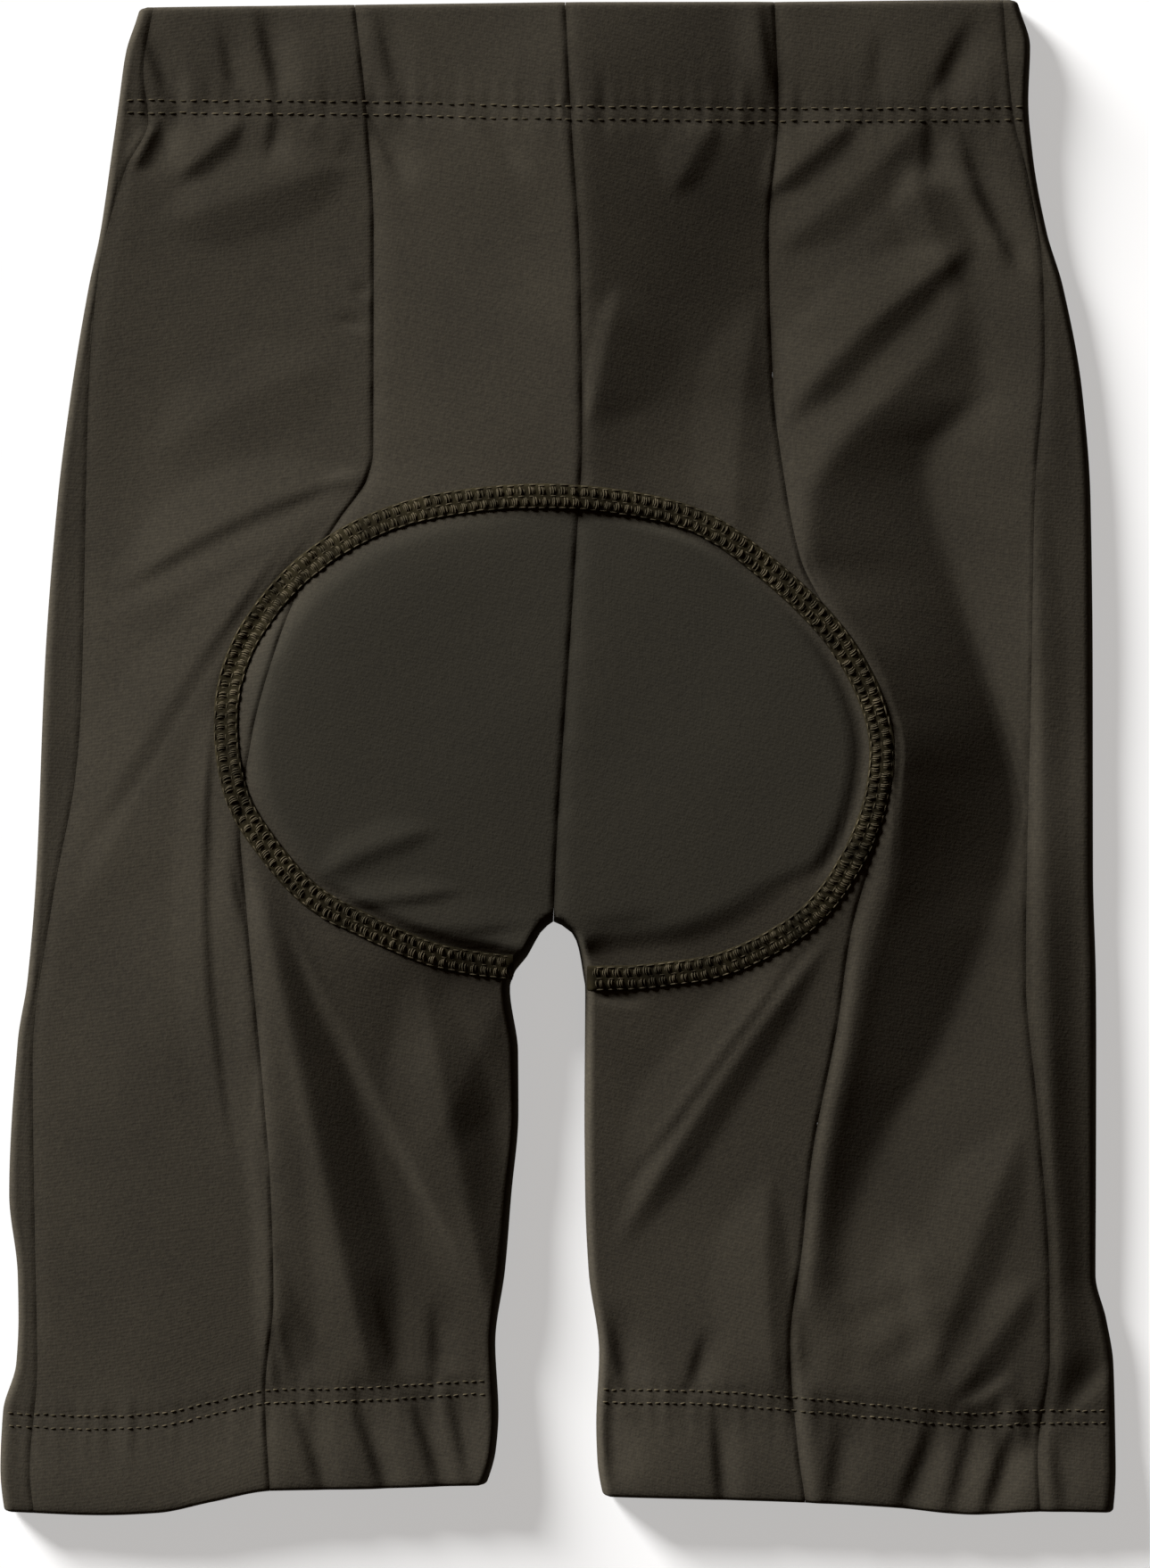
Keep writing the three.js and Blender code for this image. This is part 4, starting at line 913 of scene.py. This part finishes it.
def ring_threads(name, path, back):
    """Cover threads across the flat seam, between three lines of needle thread."""
    run = length_along(path)
    along = np.gradient(path, axis=0)
    along /= np.linalg.norm(along, axis=1)[:, None]
    sideways = np.column_stack([-along[:, 1], along[:, 0]])
    starts = np.arange(0.6, run[-1] - RING_PITCH, RING_PITCH)
    k = 7
    t = np.linspace(0, 1, k)
    strands = []
    for low, high, shift in ((-3.0, 0.1, 0.0), (-0.1, 3.0, 1.2)):
        for lean, crown in ((0.2, 0.2), (0.75, 0.42), (1.3, 0.44), (1.85, 0.24)):
            reach = low + (high - low) * t
            step = lean + shift + 0.45 * np.sin(math.pi * t) + 0.3 * (t - 0.5)
            strands.append((step, reach, 0.16 + crown * np.sin(math.pi * t)))
    for line in (-3.05, 0.0, 3.05):
        strands.append((0.2 + 2.6 * t, 0.0 * t + line, 0.25 + 0.1 * np.sin(math.pi * t)))
    runs, offs, lifts = [], [], []
    for step, reach, lift in strands:
        jitter = rng.normal(0, 0.12, (len(starts), 1))
        tilt = rng.normal(0, 0.16, (len(starts), 1)) * (t - 0.5)[None, :]
        runs.append(starts[:, None] + step[None, :] + jitter + tilt)
        offs.append(reach[None, :] + rng.normal(0, 0.1, (len(starts), 1)))
        lifts.append(np.broadcast_to(lift, (len(starts), k)) + rng.uniform(-0.05, 0.08, (len(starts), 1)))
    at, off, lift = (np.concatenate(a) for a in (runs, offs, lifts))
    at = np.clip(at, 0, run[-1])
    px, ps = np.interp(at, run, path[:, 0]), np.interp(at, run, path[:, 1])
    nx, ns = np.interp(at, run, sideways[:, 0]), np.interp(at, run, sideways[:, 1])
    x, station = px + nx * off, ps + ns * off
    flags = np.full(x.shape, back)
    up = outward(x, station, flags)
    points = place(x, station, flags, 0) + up * lift[..., None]
    return sweep(name, points, up, 0.21, sides=6, flat=0.8, taper=0.55, dip=0.25)


# materials
def linear(colour):
    """An sRGB hex colour as linear red, green, blue and alpha."""
    parts = [int(colour[i:i + 2], 16) / 255 for i in (1, 3, 5)]
    return [p / 12.92 if p <= 0.04045 else ((p + 0.055) / 1.055) ** 2.4 for p in parts] + [1.0]


def new_material(name):
    material = bpy.data.materials.new(name)
    material.use_nodes = True
    material.node_tree.nodes.clear()
    return material


def add_node(material, kind, settings=None, inputs=None):
    """Adds a node: settings are its own options, inputs are values or other nodes' outputs."""
    made = material.node_tree.nodes.new(kind)
    for key, value in (settings or {}).items():
        setattr(made, key, value)
    for key, value in (inputs or {}).items():
        if isinstance(value, bpy.types.NodeSocket):
            material.node_tree.links.new(value, made.inputs[key])
        else:
            made.inputs[key].default_value = value
    return made


def band_scale(pitch_mm):
    """The Wave Texture scale that puts its bands a real distance apart on coordinates in metres."""
    return 2 * math.pi / 20 / (pitch_mm * MM)


def knitted_nylon():
    """Warp-knitted nylon with elastane, dyed black: a close matt face with fine slanting ribs."""
    material = new_material("warp_knit_nylon_elastane")
    cloth = add_node(material, "ShaderNodeUVMap", {"uv_map": "Cloth"})
    place_in = add_node(material, "ShaderNodeTexCoord")
    # The ribs of the real knit are about 0.6 mm apart, drawn a little wider so that they show.
    ribs = add_node(
        material, "ShaderNodeTexWave", {"bands_direction": "Y", "wave_profile": "SIN"},
        {
            "Vector": cloth.outputs["UV"], "Scale": band_scale(0.95), "Distortion": 1.2, "Detail": 1.0,
            "Detail Scale": 0.35,
        },
    )
    wales = add_node(
        material, "ShaderNodeTexWave", {"bands_direction": "X", "wave_profile": "SIN"},
        {
            "Vector": cloth.outputs["UV"], "Scale": band_scale(0.8), "Distortion": 0.8, "Detail": 1.0,
            "Detail Scale": 0.5,
        },
    )
    loops = add_node(
        material, "ShaderNodeTexNoise", None,
        {"Vector": place_in.outputs["Object"], "Scale": 1 / (1.1 * MM), "Detail": 3.0, "Roughness": 0.7},
    )
    patches = add_node(
        material, "ShaderNodeTexNoise", None,
        {"Vector": place_in.outputs["Object"], "Scale": 1 / (26 * MM), "Detail": 4.0, "Roughness": 0.55},
    )
    knit = add_node(
        material, "ShaderNodeMath", {"operation": "MULTIPLY_ADD"},
        {0: wales.outputs["Fac"], 1: 0.3, 2: ribs.outputs["Fac"]},
    )
    knit_low = add_node(
        material, "ShaderNodeMath", {"operation": "MULTIPLY"}, {0: knit.outputs["Value"], 1: 0.22},
    )
    face = add_node(
        material, "ShaderNodeMath", {"operation": "MULTIPLY_ADD"},
        {0: loops.outputs["Fac"], 1: 2.0, 2: knit_low.outputs["Value"]},
    )
    shade = add_node(
        material, "ShaderNodeMath", {"operation": "MULTIPLY_ADD"},
        {0: patches.outputs["Fac"], 1: 0.9, 2: face.outputs["Value"]},
    )
    spread_out = add_node(
        material, "ShaderNodeMapRange", None,
        {"Value": shade.outputs["Value"], "From Min": 1.0, "From Max": 2.2, "To Min": 0.0, "To Max": 1.0},
    )
    dye = add_node(
        material, "ShaderNodeMix", {"data_type": "RGBA"},
        {0: spread_out.outputs["Result"], 6: linear("#2b2823"), 7: linear("#39352d")},
    )
    # Painted shade: over the insert the cloth is painted a little darker.
    pad_shade = add_node(material, "ShaderNodeAttribute", {"attribute_name": "pad_shade"})
    pad_shade_share = add_node(
        material, "ShaderNodeMath", {"operation": "MULTIPLY"}, {0: pad_shade.outputs["Fac"], 1: 0.5},
    )
    dye_with_pad_shade = add_node(
        material, "ShaderNodeMix", {"data_type": "RGBA"},
        {0: pad_shade_share.outputs["Value"], 6: dye.outputs[2], 7: linear("#282722")},
    )
    bump = add_node(
        material, "ShaderNodeBump", None,
        {"Height": face.outputs["Value"], "Strength": 0.35, "Distance": 0.12 * MM},
    )
    surface = add_node(
        material, "ShaderNodeBsdfPrincipled", None,
        {
            "Base Color": dye_with_pad_shade.outputs[2], "Roughness": 0.5, "Normal": bump.outputs["Normal"],
            "Specular IOR Level": 0.0,
        },
    )
    add_node(material, "ShaderNodeOutputMaterial", None, {"Surface": surface.outputs["BSDF"]})
    return material


def spun_thread(name, dark, light, roughness):
    """Textured polyester thread: fuzzy twisted fibres, lighter and darker along their length, with lighter
    specks here and there that are painted glints.
    """
    material = new_material(name)
    place_in = add_node(material, "ShaderNodeTexCoord")
    fibres = add_node(
        material, "ShaderNodeTexNoise", None,
        {"Vector": place_in.outputs["Object"], "Scale": 1 / (0.35 * MM), "Detail": 3.0, "Roughness": 0.75},
    )
    glint_patches = add_node(
        material, "ShaderNodeTexNoise", None,
        {"Vector": place_in.outputs["Object"], "Scale": 1 / (7 * MM), "Detail": 2.0, "Roughness": 0.5},
    )
    # Painted glints: where the fine fibres and the broad patches both run high, the thread is painted
    # lighter.
    glint_share = add_node(
        material, "ShaderNodeMath", {"operation": "MULTIPLY"},
        {0: fibres.outputs["Fac"], 1: glint_patches.outputs["Fac"]},
    )
    spread_out = add_node(
        material, "ShaderNodeMapRange", None,
        {"Value": glint_share.outputs["Value"], "From Min": 0.12, "From Max": 0.4, "To Min": 0.0, "To Max": 1.0},
    )
    dye = add_node(
        material, "ShaderNodeMix", {"data_type": "RGBA"},
        {0: spread_out.outputs["Result"], 6: linear(dark), 7: linear(light)},
    )
    bump = add_node(
        material, "ShaderNodeBump", None,
        {"Height": fibres.outputs["Fac"], "Strength": 0.5, "Distance": 0.08 * MM},
    )
    surface = add_node(
        material, "ShaderNodeBsdfPrincipled", None,
        {
            "Base Color": dye.outputs[2], "Roughness": roughness, "Normal": bump.outputs["Normal"],
            "Specular IOR Level": 0.0,
        },
    )
    add_node(material, "ShaderNodeOutputMaterial", None, {"Surface": surface.outputs["BSDF"]})
    return material


def woven_elastic():
    """Woven elastic, hidden in the turned edges: matt, with ribs across it every 1.6 mm."""
    material = new_material("woven_elastic")
    place_in = add_node(material, "ShaderNodeTexCoord")
    ribs = add_node(
        material, "ShaderNodeTexWave", {"bands_direction": "X"},
        {"Vector": place_in.outputs["Object"], "Scale": band_scale(1.6), "Distortion": 0.6},
    )
    dye = add_node(
        material, "ShaderNodeMix", {"data_type": "RGBA"},
        {0: ribs.outputs["Fac"], 6: linear("#191714"), 7: linear("#2a2723")},
    )
    bump = add_node(
        material, "ShaderNodeBump", None,
        {"Height": ribs.outputs["Fac"], "Strength": 0.5, "Distance": 0.2 * MM},
    )
    surface = add_node(
        material, "ShaderNodeBsdfPrincipled", None,
        {"Base Color": dye.outputs[2], "Roughness": 0.85, "Normal": bump.outputs["Normal"]},
    )
    add_node(material, "ShaderNodeOutputMaterial", None, {"Surface": surface.outputs["BSDF"]})
    return material


def brushed_knit():
    """Brushed polyester knit over foam, the inside of the insert: soft, matt and slightly fluffy."""
    material = new_material("brushed_polyester_over_foam")
    place_in = add_node(material, "ShaderNodeTexCoord")
    nap = add_node(
        material, "ShaderNodeTexNoise", None,
        {"Vector": place_in.outputs["Object"], "Scale": 1 / (1.2 * MM), "Detail": 5.0, "Roughness": 0.75},
    )
    dye = add_node(
        material, "ShaderNodeMix", {"data_type": "RGBA"},
        {0: nap.outputs["Fac"], 6: linear("#201e1a"), 7: linear("#37342e")},
    )
    bump = add_node(
        material, "ShaderNodeBump", None,
        {"Height": nap.outputs["Fac"], "Strength": 0.6, "Distance": 0.25 * MM},
    )
    surface = add_node(
        material, "ShaderNodeBsdfPrincipled", None,
        {
            "Base Color": dye.outputs[2], "Roughness": 0.95, "Normal": bump.outputs["Normal"],
            "Sheen Weight": 0.3, "Sheen Roughness": 0.5,
        },
    )
    add_node(material, "ShaderNodeOutputMaterial", None, {"Surface": surface.outputs["BSDF"]})
    return material


def pale_paper():
    """Plain white paper that the trousers lie on, a little self-lit so that it stays white in soft shadow."""
    material = new_material("white_studio_paper")
    place_in = add_node(material, "ShaderNodeTexCoord")
    pulp = add_node(
        material, "ShaderNodeTexNoise", None,
        {"Vector": place_in.outputs["Object"], "Scale": 40.0, "Detail": 2.0},
    )
    tone = add_node(
        material, "ShaderNodeMix", {"data_type": "RGBA"},
        {0: pulp.outputs["Fac"], 6: linear("#bdbdbd"), 7: linear("#c1c1c1")},
    )
    surface = add_node(
        material, "ShaderNodeBsdfPrincipled", None,
        {
            "Base Color": tone.outputs[2], "Roughness": 1.0, "Specular IOR Level": 0.0,
            "Emission Color": linear("#ffffff"), "Emission Strength": 0.47,
        },
    )
    add_node(material, "ShaderNodeOutputMaterial", None, {"Surface": surface.outputs["BSDF"]})
    return material


# the trousers
OVER_BACK = 16  # how many columns of a front outer panel lie on the back, before it folds round the side


def wrap_flags(above_count):
    """Tells which columns of a wrapped panel lie on the back: the first ones."""
    return lambda count: np.arange(count) < above_count


def finish_piece(piece, material, node=None):
    piece.data.materials.append(material)
    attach(piece, "root")
    if node:
        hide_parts(node)
    return piece


folded = wrap_flags(OVER_BACK)
# node, columns, which of them are on the back, grain angle, rows
PANELS = [
    ("back_outer_left", outer_columns(side_left, back_left, 50), True, 8, 300),
    ("back_inner_left", inner_columns(back_left, centre_back, left_inner, 1, 50), True, -12, 300),
    ("back_inner_right", inner_columns(back_right, centre_back, right_inner, -1, 50), True, 14, 300),
    ("back_outer_right", outer_columns(back_right, side_right, 48), True, -9, 300),
    ("front_outer_left", wrap_columns(side_left, left_side, front_left, 1, OVER_BACK, 22), folded, 4, 300),
    (
        "front_outer_right", wrap_columns(side_right, right_side, front_right, -1, OVER_BACK, 22), folded,
        -6, 300,
    ),
    ("front_inner_left", inner_columns(front_left, front_centre, left_inner, 1, 26), False, -7, 200),
    ("front_inner_right", inner_columns(front_right, front_centre, right_inner, -1, 26), False, 9, 200),
]

nylon = knitted_nylon()
thread = spun_thread("textured_polyester_thread", "#211f18", "#4a4335", 0.65)
bed_thread = spun_thread("looped_polyester_bed", "#191610", "#282418", 0.9)

for node, columns, back, grain, fine in PANELS:
    name = node + "_cloth"
    piece = panel(name, columns, back, grain, fine)
    finish_piece(piece, nylon, node)

elastic = woven_elastic()
waist_stations = np.linspace(2.2, 25.5, 6)
hem_stations = np.linspace(394.5, 417.5, 6)
ELASTICS = [
    ("waist_elastic_band", "waist_elastic", left_side, right_side, waist_stations, 1.1),
    ("left_hem_elastic_band", "hem_elastic_left", left_side, left_inner, hem_stations, 0.7),
    ("right_hem_elastic_band", "hem_elastic_right", right_inner, right_side, hem_stations, 0.7),
]
for name, node, low_edge, high_edge, stations, thickness in ELASTICS:
    band = elastic_ring(name, low_edge, high_edge, stations, CLOTH + 0.1, thickness)
    finish_piece(band, elastic, node)
pad = finish_piece(folded_pad("folded_seat_insert"), brushed_knit(), "seat_pad")

# Both ends of the back's seam are drawn on a few millimetres towards the crotch.
ring_path = spline([(-12.6, 270.9)] + PAD_SEAM + [(8.4, 274.1)], 620)
front_path = FRONT_RING[::2]
finish_piece(seam_bed("pad_seam_bed", ring_path, True), bed_thread, "pad_seam")
finish_piece(ring_threads("pad_seam_threads", ring_path, True), thread, "pad_seam")
finish_piece(seam_bed("front_pad_seam_bed", front_path, False), bed_thread)
finish_piece(ring_threads("front_pad_seam_threads", front_path, False), thread)


def across(low, high, row, count=240):
    x = np.linspace(low, high, count)
    return np.column_stack([x, row(x)])


def cover_stitches(name, low, high, row, pitch):
    """Two rows of needle stitches across the back and across the front, along one turned edge."""
    groups = []
    for back in (True, False):
        lines = [across(low, high, row), across(low, high, lambda x: row(x) + ROW_APART)]
        groups.append(stitched_row(lines, back, pitch, pitch * 0.8))
    paths = np.concatenate([g[0] for g in groups])
    ups = np.concatenate([g[1] for g in groups])
    return sweep(name, paths + ups * 0.12, ups, 0.24, sides=6, flat=0.75, taper=0.4, dip=0.3)


finish_piece(cover_stitches("waist_cover_stitches", -121.5, 130.5, waist_row, 3.0), thread)
finish_piece(cover_stitches("left_hem_cover_stitches", -154.5, -18.2, hem_row, 2.4), thread)
finish_piece(cover_stitches("right_hem_cover_stitches", 12.2, 154.8, hem_row, 2.4), thread)

# floor, light and camera
PAPER_WIDTH = 6
PAPER_DROP = 0.0002  # how far the paper lies below the cloth, so that the two never share a plane
bpy.ops.mesh.primitive_plane_add(size=PAPER_WIDTH, location=(0, 0, -PAPER_DROP))
floor = bpy.context.object
floor.name = "paper_floor"
floor.data.materials.append(pale_paper())

world = bpy.data.worlds.new("soft_surroundings")
world.use_nodes = True
# The surroundings light the cloth dimly and warmly, and look pale wherever the camera sees past the paper.
dim = world.node_tree.nodes["Background"]
dim.inputs["Color"].default_value = linear("#ffba50")
dim.inputs["Strength"].default_value = 0.05
pale = add_node(world, "ShaderNodeBackground", None, {"Color": linear("#fafaf8"), "Strength": 1.0})
seen = add_node(world, "ShaderNodeLightPath")
both = add_node(
    world, "ShaderNodeMixShader", None,
    {0: seen.outputs["Is Camera Ray"], 1: dim.outputs["Background"], 2: pale.outputs["Background"]},
)
world.node_tree.links.new(both.outputs["Shader"], world.node_tree.nodes["World Output"].inputs["Surface"])
bpy.context.scene.world = world

# A low light from the upper left draws out folds that are only a few millimetres high.
elevation = math.radians(11.5)
ON_THE_LEVEL = 1.03  # how strong the light is on level cloth
towards = Vector((-0.72 * math.cos(elevation), 0.694 * math.cos(elevation), math.sin(elevation)))
key = bpy.data.objects.new("window_light", bpy.data.lights.new("window_light", "SUN"))
key.data.energy = ON_THE_LEVEL * math.pi / math.sin(elevation)
key.data.angle = math.radians(18)
key.rotation_euler = towards.to_track_quat("Z", "Y").to_euler()
bpy.context.collection.objects.link(key)

# The camera looks straight down, and its picture is a little higher than the garment is long.
DISTANCE = 1.6
BACK_LEVEL = 0.004
PICTURE_HEIGHT = 0.4395
PICTURE_MIDDLE = (0.00475, -0.0075)
camera = bpy.data.objects.new("camera", bpy.data.cameras.new("camera"))
camera.data.sensor_fit = "VERTICAL"
camera.data.sensor_height = 36
camera.data.lens = camera.data.sensor_height * (DISTANCE - BACK_LEVEL) / PICTURE_HEIGHT
camera.location = (*PICTURE_MIDDLE, DISTANCE)
camera.rotation_euler = (0, 0, 0)
bpy.context.collection.objects.link(camera)
bpy.context.scene.camera = camera
bpy.context.scene.view_settings.view_transform = "Standard"
